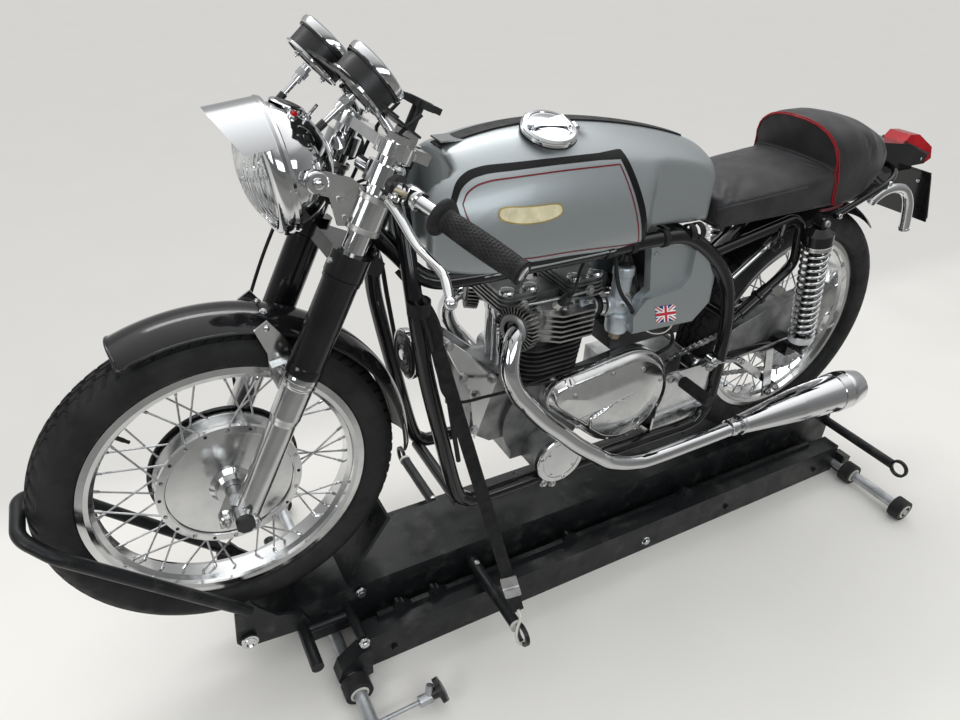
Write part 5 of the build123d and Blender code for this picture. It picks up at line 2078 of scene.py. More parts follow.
def make_rose(side_sign, name):
    """Finned clamp that holds the exhaust pipe in its port."""
    start = at(864, side_sign * 91.5, 560)
    direction = Vector((16, side_sign * 6, 2)).normalized()
    place = axes_along(start, direction)
    outline = []
    for k in range(ROSE_FINS):
        for part, radius in ((0.0, 31.0), (0.10, 45.0), (0.40, 45.0), (0.50, 31.0)):
            angle = 2 * pi * (k + part) / ROSE_FINS
            outline.append((radius * cos(angle), radius * sin(angle)))
    bm = bmesh.new()
    prism(bm, outline, place, 25.0)
    add_mesh("exhaust_rose_" + name, bm, satin_alloy, "chassis")
    add_lathe(
        "exhaust_rose_lip_" + name, [(19.2, 24), (30, 24.5), (31, 28), (26, 31), (19.2, 31.5)], start,
        direction, cast_alloy, "chassis", 64,
    )
    out = direction.cross(UP).normalized()
    bolt = start + direction * 0.016 + out * 0.047
    add_fasteners("exhaust_rose_bolt_" + name, [(bolt, out)], 6.0, steel, "chassis", "hex")


def make_exhaust_details():
    """Exhaust pipe, silencer clamp, seam rings, mouth and hanger of each side."""
    for side_sign, name in SIDES:
        start = at(253, side_sign * 170, 171)
        end = at(-176, side_sign * 173, 166)
        along = (end - start).normalized()
        add_lathe(
            "silencer_clamp_" + name, [(19.3, -34), (22, -33), (22.4, -20), (19.3, -19)], start, along,
            chrome, "chassis", 64,
        )
        add_fasteners(
            "silencer_clamp_bolt_" + name, [(start - along * 0.027 + UP * 0.022, UP)], 5.0, steel,
            "chassis", "stud",
        )
        add_lathe(
            "silencer_bead_" + name, [(51.2, 338), (53.0, 340), (53.2, 370), (51.2, 373)], start, along,
            chrome, "chassis", 96,
        )
        add_lathe(
            "silencer_neck_" + name, [(24.2, -0.5), (25.6, 1), (25.8, 10), (25.4, 12)], start, along,
            chrome, "chassis", 64,
        )
        add_lathe(
            "silencer_mouth_" + name,
            [
                (51.0, 369), (52.6, 372), (51.6, 390), (48.4, 410), (45.2, 426), (44.6, 429), (43.0, 429.4),
                (42.4, 427),
            ],
            start, along, chrome, "chassis", 96,
        )
        add_lathe(
            "silencer_inside_" + name, [(42.6, 428), (40.5, 428.4), (40.0, 414), (38.2, 414)], start, along,
            dark_plastic, "chassis", 64,
        )
        pipe = add_pipe(
            "exhaust_pipe_" + name, [(x, side_sign * y, z) for x, y, z in PIPE_LINE], PIPE_R, chrome,
            "chassis", 12,
        )
        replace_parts(pipe, "exhaust_pipes")
        hanger = [(-14, 0), (14, 0), (18, 150), (-6, 150)]
        foot = at(120, side_sign * 128, 196)
        rise = (at(150, 0, 346) - at(120, 0, 196)).normalized()
        add_plate("silencer_hanger_" + name, hanger, foot, AHEAD, rise, 4.0, polished, "chassis", 1.2)
        bolt = foot + UP * 0.012 + Vector((0, side_sign * 0.002, 0))
        add_fasteners("hanger_bolt_" + name, [(bolt, sideways(side_sign))], 7.0, steel, "chassis", "hex")


def make_case_details():
    """Bolts of the engine plates, gearbox end cover, timing cover, barrel and head nuts."""
    bolts = []
    for side_sign in SIDE_SIGNS:
        for x, z in PLATE_FIXINGS:
            bolts.append((from_side("engine_plates", x, z, side_sign)[0], sideways(side_sign)))
    add_fasteners("plate_fixings", bolts, 7.5, steel, "chassis", "hex")
    spindle = at(352, 112, 262)
    add_rod("gearbox_spindle", spindle, spindle + LEFT * 0.030, 6.0, steel, "chassis", 24)
    add_lathe(
        "gearbox_spindle_end", [(0, 29.8), (4.6, 29.8), (4.4, 30.6), (0, 30.6)], spindle, LEFT,
        dark_plastic, "chassis", 20,
    )
    # Polished end cover of the gearbox, a half moon below the plate
    lower = [(486, 190), (330, 236), (318, 214), (340, 186), (380, 166), (430, 160), (484, 168)]
    bm = bmesh.new()
    place = on_plane(at(0, 104, 0), AHEAD, UP)
    prism(bm, smooth_path([(float(x), float(z)) for x, z in lower], 6, True), place, 42)
    bevelled(bm, 5.0, 3)
    add_mesh("gearbox_end_cover", bm, polished, "chassis")
    screws = []
    for x, z in ((705, 310), (705, 410), (790, 440), (838, 420), (838, 340), (798, 284), (742, 292)):
        screws.append((from_side("crankcase", x, z, -1)[0], RIGHT))
    add_fasteners("timing_screws", screws, 5.0, steel, "chassis", "slot")
    dome = from_side("crankcase", 812, 366, -1)[0]
    add_lathe(
        "timing_dome", [(0, 12), (14, 11), (24, 7), (29, 1), (29, -1), (0, -1)], dome, RIGHT, polished,
        "chassis", 64,
    )
    for part, kind, level, sites in (
        ("barrel_nuts", "stud", 406, ((702, 56), (838, 56), (770, 80))),
        ("head_bolts", "hex", 574.5, ((762, 86), (700, 84), (812, 46))),
    ):
        seats = [(at(x, side_sign * y, level), UP) for x, y in sites for side_sign in SIDE_SIGNS]
        add_fasteners(part, seats, 6.5, steel, "chassis", kind)
    # Cover joint of the two crankcase halves
    seam = [(872, 300), (866, 246), (838, 212), (800, 191), (765, 183.5), (726, 189), (694, 205)]
    add_tube("case_joint", [at(x, 0, z) for x, z in seam], 2.2, satin_alloy, "chassis")


make_primary_cover()
make_round_cover()
make_rocker_caps()
make_plugs()
for side_sign, name in SIDES:
    make_carburettor(side_sign, name)
    make_rose(side_sign, name)
make_exhaust_details()
make_case_details()


# Springs, chain, rear fork and side panels

SHOCK_FOOT = (84, 153, 346)
SHOCK_TOP = (146, 153, 684)
COILS = 13.5
CHAIN_Y = 63.5
CHAIN_LINKS = 78
CHAIN_PIN = [(0, -5.6), (2.3, -5.6), (2.3, -3), (4.0, -2.9), (4.0, 2.9), (2.3, 3), (2.3, 5.6), (0, 5.6)]
CHAIN_FRONT = (410.0, 320.0, 33.0)
CHAIN_REAR = (0.0, 324.0, 109.0)
FLAG_CORNERS = [(655, 307), (675, 304), (676, 320), (656, 323)]
GUARD_PIXELS = [
    (724, 342), (734, 330), (752, 319), (778, 304), (806, 291), (832, 285), (836, 300), (818, 322),
    (800, 334), (774, 341), (748, 347), (727, 352),
]
PANEL_FACE_Y = 116.0
PANEL_PIXELS = [
    (632, 334), (692, 321), (709, 302), (715, 275), (708, 247), (652, 244), (650, 290), (640, 300),
    (629, 324),
]
RAISED_PIXELS = [
    (633, 333), (633, 318), (647, 300), (681, 289), (691, 276), (697, 249), (707, 252), (713, 275),
    (707, 301), (690, 320),
]
FRAME_LOOP = [
    (1131, 22, 776), (1106, 52, 744), (1066, 96, 706), (1000, 112, 701), (860, 112, 700), (717, 112, 700),
    (570, 112, 700), (500, 112, 692), (438, 112, 657), (382, 112, 604), (345, 112, 548), (323, 112, 480),
    (313, 112, 400), (311, 112, 300), (315, 112, 230), (336, 112, 188), (380, 112, 172), (500, 112, 172),
    (800, 112, 172), (950, 112, 172), (990, 112, 184), (1014, 112, 226), (1052, 112, 400), (1076, 112, 520),
    (1089, 112, 610), (1092, 90, 700), (1088, 24, 860),
]
FRAME_TUBE_R = 16.0
HEAD_TUBE_FOOT = 511.0
HEAD_TUBE_LENGTH = 155.0
HEAD_TUBE_R = 27.0
HEAD_TUBE_BORE = 13.4
FRAME_CROSS = [(1000, 172), (340, 172), (505, 700), (325, 470)]
SPRING_R = 27.0
SPRING_WIRE_R = 3.9
GUARD_Y = 86
ARM_Y = 118
ARM_LENGTH = 118
ARM_PIXELS = ((741, 361), (775, 387))
PANEL_PARTS = (("sheet", PANEL_PIXELS, 84, 104, 7.0), ("raised", RAISED_PIXELS, 100, PANEL_FACE_Y, 9.0))
PANEL_SCREW_Y = 104
PANEL_SCREW_PIXELS = ((656, 254), (702, 256))
FLAG_SLANT = 0.13
FLAG_THIN = 0.05
badge_white = make_plain("band_silver", (0.62, 0.63, 0.65), 0.3, 0.3)


def pixel_on_side(px, py, y):
    """(x, z) where a pixel of the photograph meets an upright plane at y."""
    start, direction = pixel_ray(px, py)
    point = start + direction * ((at(0, y, 0).y - start.y) / direction.y)
    local = (point - ORIGIN) / MM
    return local.x, local.z


def make_frame():
    """Both loops of the frame with their long bends, the head tube and the cross tubes."""
    pieces = []
    for side_sign, name in SIDES:
        line = [(x, side_sign * y, z) for x, y, z in FRAME_LOOP]
        pieces.append(add_pipe("frame_loop_" + name, line, FRAME_TUBE_R, gloss_black, "chassis"))
    for k, (x, z) in enumerate(FRAME_CROSS):
        pieces.append(
            add_rod(f"frame_cross_{k}", at(x, -112, z), at(x, 112, z), 13, gloss_black, "chassis", 32)
        )
    foot = fork_at(STEM_U, 0, HEAD_TUBE_FOOT)
    profile = [
        (HEAD_TUBE_BORE, 0), (HEAD_TUBE_R + 2, 0), (HEAD_TUBE_R + 2, 12), (HEAD_TUBE_R, 15),
        (HEAD_TUBE_R, HEAD_TUBE_LENGTH - 15), (HEAD_TUBE_R + 2, HEAD_TUBE_LENGTH - 12),
        (HEAD_TUBE_R + 2, HEAD_TUBE_LENGTH), (HEAD_TUBE_BORE, HEAD_TUBE_LENGTH),
    ]
    pieces.append(add_lathe("head_tube", profile, foot, FORK_UP, gloss_black, "chassis", 64))
    for piece in pieces:
        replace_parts(piece, "frame")


def make_springs():
    """Helical springs with their collars, caps and blank bands."""
    for side_sign, name in SIDES:
        foot = at(SHOCK_FOOT[0], side_sign * SHOCK_FOOT[1], SHOCK_FOOT[2])
        top = at(SHOCK_TOP[0], side_sign * SHOCK_TOP[1], SHOCK_TOP[2])
        length = (top - foot).length / MM
        place = axes_along(foot, top - foot)
        start, end = 49.0, length - 65.0
        steps = int(COILS * 14)
        points = []
        for k in range(steps + 1):
            angle = 2 * pi * COILS * k / steps
            rise = start + (end - start) * k / steps
            points.append(place @ Vector((SPRING_R * cos(angle) * MM, SPRING_R * sin(angle) * MM, rise * MM)))
        spring = add_tube("spring_" + name, points, SPRING_WIRE_R, chrome, "chassis", resolution=2)
        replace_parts(spring, "shock_springs")
        axis = (top - foot).normalized()
        add_lathe(
            "shock_band_" + name, [(28.2, 25.5), (29.2, 26), (29.2, 43.5), (28.2, 44.3)], foot, axis,
            badge_white, "chassis", 64,
        )
        add_lathe(
            "shock_collar_" + name, [(14, 44), (31.5, 44.5), (31.5, 47.5), (14, 48)], foot, axis, chrome,
            "chassis", 64,
        )
        add_lathe(
            "shock_rod_" + name, [(14.2, 44), (14.4, 46), (14.4, length - 62), (14.2, length - 60)], foot,
            axis, gloss_black, "chassis", 32,
        )
        add_lathe("shock_cap_" + name, [
            (33.2, length - 62), (34.2, length - 61), (34.2, length - 52), (33.2, length - 51),
        ], foot, axis, polished, "chassis", 64)
        side = sideways(side_sign)
        for part, middle in (("foot", foot), ("top", top)):
            add_lathe(
                f"shock_bush_{part}_{name}", [(0, 12), (13, 12.5), (13, 14.5), (6, 15), (0, 15)], middle,
                side, rubber, "chassis", 32,
            )
            add_fasteners(
                f"shock_bolt_{part}_{name}", [(middle + side * 0.0145, side)], 8.5, steel, "chassis",
                "dome",
            )


def hull_path(front, rear, count):
    """Evenly spaced points and directions round two circles joined by their outer tangents."""
    (x1, z1, r1), (x2, z2, r2) = front, rear
    run = sqrt((x1 - x2) ** 2 + (z1 - z2) ** 2)
    heading = atan2(z1 - z2, x1 - x2)
    swing = acos_clamped((r2 - r1) / run)
    dense_path = []
    for k in range(200):
        angle = heading + swing + (2 * pi - 2 * swing) * k / 200
        dense_path.append((x2 + r2 * cos(angle), z2 + r2 * sin(angle)))
    for k in range(120):
        angle = heading - swing + 2 * swing * k / 120
        dense_path.append((x1 + r1 * cos(angle), z1 + r1 * sin(angle)))
    dense_path.append(dense_path[0])
    lengths = [0.0]
    for a, b in zip(dense_path, dense_path[1:]):
        lengths.append(lengths[-1] + sqrt((a[0] - b[0]) ** 2 + (a[1] - b[1]) ** 2))
    points = []
    index = 0
    for k in range(count):
        goal = lengths[-1] * k / count
        while lengths[index + 1] < goal:
            index += 1
        share = (goal - lengths[index]) / (lengths[index + 1] - lengths[index])
        a, b = dense_path[index], dense_path[index + 1]
        points.append((a[0] + (b[0] - a[0]) * share, a[1] + (b[1] - a[1]) * share))
    return points


def make_chain():
    """Roller chain: waisted side plates, outer and inner in turn, with a pin at every joint."""
    joints = hull_path(CHAIN_FRONT, CHAIN_REAR, CHAIN_LINKS)
    plates = bmesh.new()
    pins = bmesh.new()
    for k, (x, z) in enumerate(joints):
        after = joints[(k + 1) % CHAIN_LINKS]
        along = Vector((after[0] - x, 0, after[1] - z))
        pitch = along.length
        along.normalize()
        up = along.cross(LEFT)
        half_outline = [
            (-5.2, 0), (-3.8, 3.8), (0, 5.3), (pitch / 2, 3.4), (pitch, 5.3), (pitch + 3.8, 3.8),
            (pitch + 5.2, 0),
        ]
        outline = half_outline + [(px, -py) for px, py in reversed(half_outline[1:-1])]
        for side_sign in SIDE_SIGNS:
            shift = (4.4 if k % 2 else 3.1) * side_sign
            prism(plates, outline, on_plane(at(x, CHAIN_Y + shift, z), along, up), 1.1)
        lathe(pins, CHAIN_PIN, axes_along(at(x, CHAIN_Y, z), LEFT), 10)
    for part, bm in (("plates", plates), ("rollers", pins)):
        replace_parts(add_mesh("chain_" + part, bm, steel, "chassis"), "drive_chain")


def make_chain_guard():
    """Polished guard over the chain's upper run, rolled inward along its top."""
    outline = smooth_path([pixel_on_side(px, py, GUARD_Y) for px, py in GUARD_PIXELS], 5, True)
    bm = bmesh.new()
    rows = []
    for shift, drop in ((0, 0), (-4, -5), (-12, -9), (-26, -10)):
        rows.append([bm.verts.new(at(x, GUARD_Y + shift, z - 0.02 * drop)) for x, z in outline])
    bm.faces.new(rows[0])
    join_rows(bm, rows)
    bmesh.ops.recalc_face_normals(bm, faces=bm.faces)
    bevelled(bm, 3.0, 3)
    add_mesh("chain_guard", bm, cast_alloy, "chassis", radians(60))


def make_axle_ends():
    for side_sign, name in SIDES:
        side = sideways(side_sign)
        middle = at(0, side_sign * 118, 324)
        add_lathe(
            "rear_axle_washer_" + name, [(0, -1), (19, -1), (19, 1.2), (0, 1.2)], middle - side * 0.013,
            side, steel, "chassis", 40,
        )
        add_lathe(
            "rear_axle_tip_" + name, [(0, -1), (7.4, -1), (7.4, 6), (6, 7), (0, 7)], middle, side, steel,
            "chassis", 24,
        )
        tail = at(-34, side_sign * 94, 324)
        add_rod("adjuster_" + name, tail, tail - AHEAD * 0.026, 4.0, steel, "chassis", 16)
        add_fasteners(
            "adjuster_nut_" + name, [(tail, -AHEAD), (tail - AHEAD * 0.018, -AHEAD)], 7.0, steel, "chassis",
            "hex",
        )
        pivot = at(354, side_sign * 89, 330)
        add_lathe(
            "pivot_cap_" + name, [(0, -1), (19, -1), (19, 3), (16, 6), (8, 7), (0, 7)], pivot, side, steel,
            "chassis", 32,
        )


def make_rear_linkage():
    """Brake rod, torque arm, footrest linkage and the brackets of the seat loop on the left."""
    add_rod("brake_rod", at(356, 120, 336), at(66, 112, 350), 3.2, steel, "chassis", 14)
    arm = [(-6, -8), (6, -8), (9, 0), (9, 118), (6, 126), (-6, 126), (-9, 118), (-9, 0)]
    (start_x, start_z), (end_x, end_z) = [pixel_on_side(px, py, ARM_Y) for px, py in ARM_PIXELS]
    run = Vector((end_x - start_x, 0, end_z - start_z))
    along = run.normalized()
    outline = [(x, y * run.length / ARM_LENGTH) for x, y in arm]
    origin = at(start_x, 116, start_z)
    add_plate("torque_arm", outline, origin, along.cross(LEFT), along, 4.0, polished, "chassis", 1.0)
    add_fasteners(
        "torque_arm_bolts", [(origin + LEFT * 0.002, LEFT), (at(end_x, ARM_Y, end_z), LEFT)], 7.0, steel,
        "chassis", "hex",
    )
    lever = at(338, 118, 352)
    add_lathe(
        "linkage_boss", [(0, -16), (13, -16), (13, 4), (10, 8), (0, 8)], lever, LEFT, polished, "chassis",
        32,
    )
    add_fasteners("linkage_nut", [(lever + LEFT * 0.008, LEFT)], 8.0, chrome, "chassis", "dome")
    add_rod("linkage_rod", lever + LEFT * 0.004, at(258, 124, 338), 5.0, chrome, "chassis", 16)
    add_fasteners("linkage_end", [(at(258, 122, 338), LEFT)], 9.0, chrome, "chassis", "dome")
    # Rod and looped tab behind the seat loop
    add_rod("damper_rod", at(322, 92, 546), at(214, 92, 622), 6.0, chrome, "chassis", 20)
    add_rod("damper_end", at(226, 92, 614), at(206, 92, 628), 9.0, satin_alloy, "chassis", 20)
    add_rod("damper_foot", at(330, 92, 541), at(312, 92, 553), 9.0, gloss_black, "chassis", 20)
    ring = ring_of(16, 15.0, at(229, 121, 634), LEFT, 0.0)
    add_tube("loop_tab_eye", ring, 4.0, gloss_black, "chassis", True)
    add_rod("loop_tab_stem", at(222, 121, 650), at(214, 116, 674), 7.0, gloss_black, "chassis", 16)
    # Rubber sleeve on the lower tube of the seat loop
    base = at(292, 109, 450)
    direction = (at(180, 108, 528) - base).normalized()
    for k, (low, high, radius) in enumerate(((18, 74, 14.5), (74, 84, 18.0), (84, 112, 14.0))):
        add_lathe(
            f"loop_sleeve_{k}",
            [
                (10, low), (radius - 1, low), (radius, low + 1.5), (radius, high - 1.5), (radius - 1, high),
                (10, high),
            ],
            base, direction, gloss_black, "chassis", 32,
        )
    # Rubber bands round the upper rail, where the loom is tied
    for k, x in enumerate((470, 492, 560, 640, 700)):
        add_lathe(
            f"rail_band_{k}", [(16, -7), (18.4, -6), (18.6, 6), (16, 7)], at(x, 112, 700), AHEAD, rubber,
            "chassis", 32,
        )


def make_footrest_tips():
    for side_sign, name in SIDES:
        start = at(433, side_sign * 126, 328)
        side = sideways(side_sign)
        profile = [(0, 0), (12, 0)]
        for k in range(14):
            profile += [
                (radius, height + k * 6.0)
                for radius, height in ((14.5, 2), (14.5, 5), (12.8, 5.6), (12.8, 7.4))
            ]
        profile += [(14, 88), (10, 91), (0, 91)]
        piece = add_lathe("footrest_rubber_" + name, profile, start, side, rubber, "chassis", 40)
        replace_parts(piece, "footrests")
        add_rod(
            "footrest_root_" + name, at(433, side_sign * 110, 328), at(433, side_sign * 127, 328), 11,
            steel, "chassis", 24,
        )


def make_side_panels():
    """Sheet and raised lower part of both panels, and the black box between them."""
    for side_sign, name in SIDES:
        for part, pixels, low, high, bevel in PANEL_PARTS:
            outline = [pixel_on_side(px, py, high) for px, py in pixels]
            bm = bmesh.new()
            outer_y = high if side_sign > 0 else -low
            prism(bm, outline, on_plane(at(0, outer_y, 0), AHEAD, UP), high - low)
            bevelled(bm, bevel, 4)
            panel = add_mesh(f"side_panel_{part}_{name}", bm, silver, "chassis", radians(50))
            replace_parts(panel, "side_panels")
    add_block("battery_box", (408, -80, 470), (486, 80, 650), dark_plastic, "chassis", 6.0)
    add_block("battery_tray", (412, -66, 424), (612, 66, 474), dark_plastic, "chassis", 8.0)


def make_flag():
    """Small flag of plain patches on the left panel, each colour a little over the last."""
    corners = [Vector((x, 0, z)) for x, z in (pixel_on_side(px, py, PANEL_FACE_Y) for px, py in FLAG_CORNERS)]

    def spot(u, v, lift):
        low = corners[3].lerp(corners[2], u)
        high = corners[0].lerp(corners[1], u)
        place = low.lerp(high, v)
        return at(place.x, PANEL_FACE_Y + lift, place.z)

    def diagonals(wide, high):
        return [
            [(0, 0), (wide, 0), (1, 1 - high), (1, 1), (1 - wide, 1), (0, high)],
            [(0, 1), (0, 1 - high), (1 - wide, 0), (1, 0), (1, high), (wide, 1)],
        ]

    def cross(wide, high):
        return [
            [(0.5 - wide, 0), (0.5 + wide, 0), (0.5 + wide, 1), (0.5 - wide, 1)],
            [(0, 0.5 - high), (1, 0.5 - high), (1, 0.5 + high), (0, 0.5 + high)],
        ]

    for name, shapes, lift, material in (
        ("flag_field", [[(0, 0), (1, 0), (1, 1), (0, 1)]], 0.3, flag_blue),
        ("flag_diagonals", diagonals(FLAG_SLANT, FLAG_SLANT * 1.5), 0.5, flag_white),
        ("flag_thin_diagonals", diagonals(FLAG_THIN, FLAG_THIN), 0.7, flag_red),
        ("flag_white_cross", cross(0.12, 0.17), 0.9, flag_white),
        ("flag_red_cross", cross(0.06, 0.09), 1.1, flag_red),
    ):
        bm = bmesh.new()
        for k, shape in enumerate(shapes):
            bm.faces.new([bm.verts.new(spot(u, v, lift + k * 0.04)) for u, v in shape])
        add_mesh(name, bm, material, "chassis")


def make_panel_screws():
    screws = []
    for side_sign in SIDE_SIGNS:
        for px, py in PANEL_SCREW_PIXELS:
            x, z = pixel_on_side(px, py, PANEL_SCREW_Y)
            screws.append((at(x, side_sign * PANEL_SCREW_Y, z), sideways(side_sign)))
    add_fasteners("panel_screws", screws, 5.0, steel, "chassis", "dome")


make_frame()
make_springs()
make_chain()
make_chain_guard()
make_axle_ends()
make_rear_linkage()
make_footrest_tips()
make_side_panels()
make_flag()
make_panel_screws()


# Cables, tie-down strap and the lift's fittings

STRAP_HALF = 13.0
STRAP_TOP = (1082, 122, 664)
STRAP_HOOK = (958, 303, 16)
STRAP_RING = (955, 321, -40)
STRAP_TURNS = 16
RAIL_BOLT_Z = -132
RAIL_BOLT_Y = 165
DECK_BOLT_PIXEL = (360, 584)
DECK_BOLT_Y = 88
ROLLER_X = (-240, 1286)
ROLLER_Z = -135
TOOTH = [(-26, 0), (18, 0), (13, 24), (8, 24)]
HORN_AT = (1040, 3, 503)


def make_strap():
    """Taut webbing from the frame's left down tube to the front tie ring, with buckle and hook."""
    top = at(*STRAP_TOP)
    low = at(*STRAP_HOOK)
    run = (low - top).normalized()
    across = run.cross(Vector((0.35, 0.94, 0)).normalized()).normalized()
    face = across.cross(run).normalized()
    bm = bmesh.new()
    rows = []
    steps = 48
    for k in range(steps + 1):
        share = k / steps
        centre = top.lerp(low, share)
        twist = radians(16) * share
        half = across * cos(twist) * STRAP_HALF * MM + face * sin(twist) * STRAP_HALF * MM
        rows.append([bm.verts.new(centre - half), bm.verts.new(centre), bm.verts.new(centre + half)])
    join_rows(bm, rows, False)
    bmesh.ops.solidify(bm, geom=bm.faces[:], thickness=1.4 * MM)
    add_mesh("tie_strap", bm, webbing, "chassis")
    # Loop of the same webbing round the frame tube
    tube_at = at(1089, 112, 664)
    turns = [2 * pi * k / STRAP_TURNS for k in range(STRAP_TURNS)]
    ring = [tube_at + Vector((cos(turn) * 0.021, sin(turn) * 0.021, 0)) for turn in turns]
    bm = bmesh.new()
    join_rows(bm, [[bm.verts.new(p + UP * rise * MM) for p in ring] for rise in (-13, 13)])
    bmesh.ops.solidify(bm, geom=bm.faces[:], thickness=1.6 * MM)
    add_mesh("tie_strap_loop", bm, webbing, "chassis")
    # Cam buckle near the lower end and the wire hook through the ring
    buckle = top.lerp(low, 0.90)
    add_plate(
        "strap_buckle_plate", rounded_rectangle(17, 26, 4, 4), buckle + face * 0.0025, across, run, 2.5,
        steel, "chassis", 0.8,
    )
    add_rod(
        "strap_buckle_bar", buckle + face * 0.007 - across * 0.017, buckle + face * 0.007 + across * 0.017,
        4.0, steel, "chassis", 16,
    )
    ring_middle = at(*STRAP_RING)
    curl = ((0.012, -0.004, 0.018), (0.014, 0.002, -0.004), (0.004, 0.006, -0.020), (-0.010, 0.004, -0.012))
    hook = [low - run * 0.004, low + run * 0.018] + [ring_middle + Vector(step) for step in curl]
    add_tube("strap_hook", hook, 3.4, white_plastic, "chassis")


def make_lift_fittings():
    """Bolts, hoop pivots, rings on the roller tubes, ratchet teeth, and caps of the tie-down arms."""
    bolts = []
    for x, y, z in ((483, 165, -130), (1251, 177, -60)):
        bolts += [(at(x, side_sign * y, z), sideways(side_sign)) for side_sign in SIDE_SIGNS]
    deck_x, deck_z = pixel_on_side(*DECK_BOLT_PIXEL, DECK_BOLT_Y)
    bolts.append((at(deck_x, DECK_BOLT_Y, max(-40, min(-14, deck_z))), LEFT))
    rail_bolts = []
    for x in (-150, 200, 880, 1180):
        rail_bolts += [
            (at(x, side_sign * RAIL_BOLT_Y, RAIL_BOLT_Z), sideways(side_sign))
            for side_sign in SIDE_SIGNS
        ]
    add_fasteners("lift_bolts", bolts, 9.0, chrome, "chassis", "hex")
    add_fasteners("lift_rail_bolts", rail_bolts, 6.5, lift_black, "chassis", "hex")
    for side_sign, name in SIDES:
        side = sideways(side_sign)
        pivot = at(1462, side_sign * 100, -22)
        add_lathe(
            "hoop_pivot_" + name,
            [(0, -2), (17, -2), (17, 1.5), (12.5, 2.5), (12.5, 5), (9, 6), (6, 3), (0, 3)], pivot, side,
            chrome, "chassis", 40,
        )
        for x in ROLLER_X:
            for k, y in enumerate((219, 385)):
                hub = at(x, side_sign * y, ROLLER_Z)
                for facing in SIDE_SIGNS:
                    direction = side * facing
                    add_lathe(f"roller_ring_{x + 240}_{k}_{facing + 1}_{name}", [
                        (15.2, 15.2), (19.6, 15.2), (20, 17.2), (17.5, 18.4), (15.2, 18.4),
                    ], hub, direction, white_plastic, "chassis", 40)
            tip = at(x, side_sign * 400, ROLLER_Z)
            add_fasteners(
                f"roller_bolt_{x + 240}_{name}", [(tip - side * 0.0006, side)], 9.0, steel, "chassis",
                "dome",
            )
        for x in (1060, 1145, 700, 330):
            bm = bmesh.new()
            prism(bm, TOOTH, on_plane(at(x, side_sign * 122 + 5, -62), AHEAD, UP), 10)
            bevelled(bm, 1.0, 1)
            add_mesh(f"ratchet_tooth_{x}_{name}", bm, lift_black, "chassis")
        cap = at(955, side_sign * 298, -40)
        add_lathe(
            "arm_cap_" + name, [(0, 0), (14.2, 0), (14.4, -7), (13.1, -8), (0, -8)], cap + side * 0.003,
            side, white_plastic, "chassis", 40,
        )
        add_fasteners("arm_pin_" + name, [(at(955, side_sign * 118, -27), UP)], 7.0, steel, "chassis", "dome")


def make_brake_knob():
    """Black star knob of the roller brake."""
    knob = at(1160, 309, -128)
    direction = Vector((-0.92, 0.05, 0.38)).normalized()
    outline = []
    for k in range(48):
        angle = 2 * pi * k / 48
        radius = 27.0 + 2.2 * cos(6 * angle)
        outline.append((radius * cos(angle), radius * sin(angle)))
    bm = bmesh.new()
    prism(bm, outline, axes_along(knob + direction * 0.018, direction), 10.0)
    bevelled(bm, 2.0, 2)
    add_mesh("brake_knob", bm, dark_plastic, "chassis")
    add_lathe(
        "brake_knob_hub", [(0, -4), (9, -4), (12, 14), (12, 20), (0, 20)], knob, direction, dark_plastic,
        "chassis", 32,
    )
    add_lathe(
        "brake_knob_face", [(0, 27.5), (20, 27.5), (19, 29.5), (0, 30.5)], knob, direction, dark_plastic,
        "chassis", 40,
    )


def make_cables():
    """Control cables and loom; those that end on the bars turn with the steering."""
    for side_sign, name in SIDES:
        drive = ((-58, 46, 742), (-34, 40, 690), (-30, 44, 610), (-24, 40, 540))
        points = [fork_at(u, side_sign * y, t) for u, y, t in drive]
        add_tube("clock_cable_" + name, points, 3.2, rubber, "steering")
    lamp = [at(1232, 16, 880), at(1206, 34, 842), fork_at(-30, 30, 600), fork_at(-26, 22, 530)]
    add_tube("lamp_loom", lamp, 5.5, rubber, "steering")
    for name, points, radius in (
        ("switch_wire_left", [(-4, 118, 640), (12, 88, 622), (20, 60, 590), (4, 36, 540)], 2.6),
        (
            "brake_cable",
            [
                (-10, -118, 642), (26, -112, 600), (34, -132, 470), (30, -136, 300), (16, -126, 160),
                (-30, -70, 70),
            ],
            3.2,
        ),
    ):
        add_tube(name, [fork_at(*point) for point in points], radius, rubber, "steering")
    for name, points, radius in (
        (
            "clutch_cable",
            [
                (1104, 84, 706), (1086, 132, 640), (1064, 134, 540), (1040, 130, 470), (930, 96, 420),
                (700, 84, 418), (560, 78, 404),
            ],
            3.2,
        ),
        (
            "loom_left",
            [(1106, 60, 712), (1066, 124, 648), (1052, 131, 560), (1034, 131, 430), (1010, 120, 300)], 5.0,
        ),
        ("loom_right", [(1106, -60, 712), (1066, -124, 648), (1052, -131, 560), (1034, -131, 430)], 5.0),
        ("horn_wire", [(1044, 20, 520), (1058, 60, 560), (1066, 96, 610)], 2.4),
        ("oil_line_top", [(560, 60, 520), (500, 70, 470), (430, 66, 400), (470, 58, 370)], 4.5),
        ("oil_line_low", [(560, 30, 520), (480, 40, 450), (420, 36, 420)], 4.5),
        ("loom_rear", [(600, 60, 660), (520, 84, 500), (440, 88, 470), (392, 90, 540)], 4.0),
        ("pale_wire", [(560, 88, 486), (520, 100, 464), (486, 104, 470), (470, 98, 500)], 1.6),
    ):
        material = white_plastic if name == "pale_wire" else rubber
        add_tube(name, [at(*point) for point in points], radius, material, "chassis")


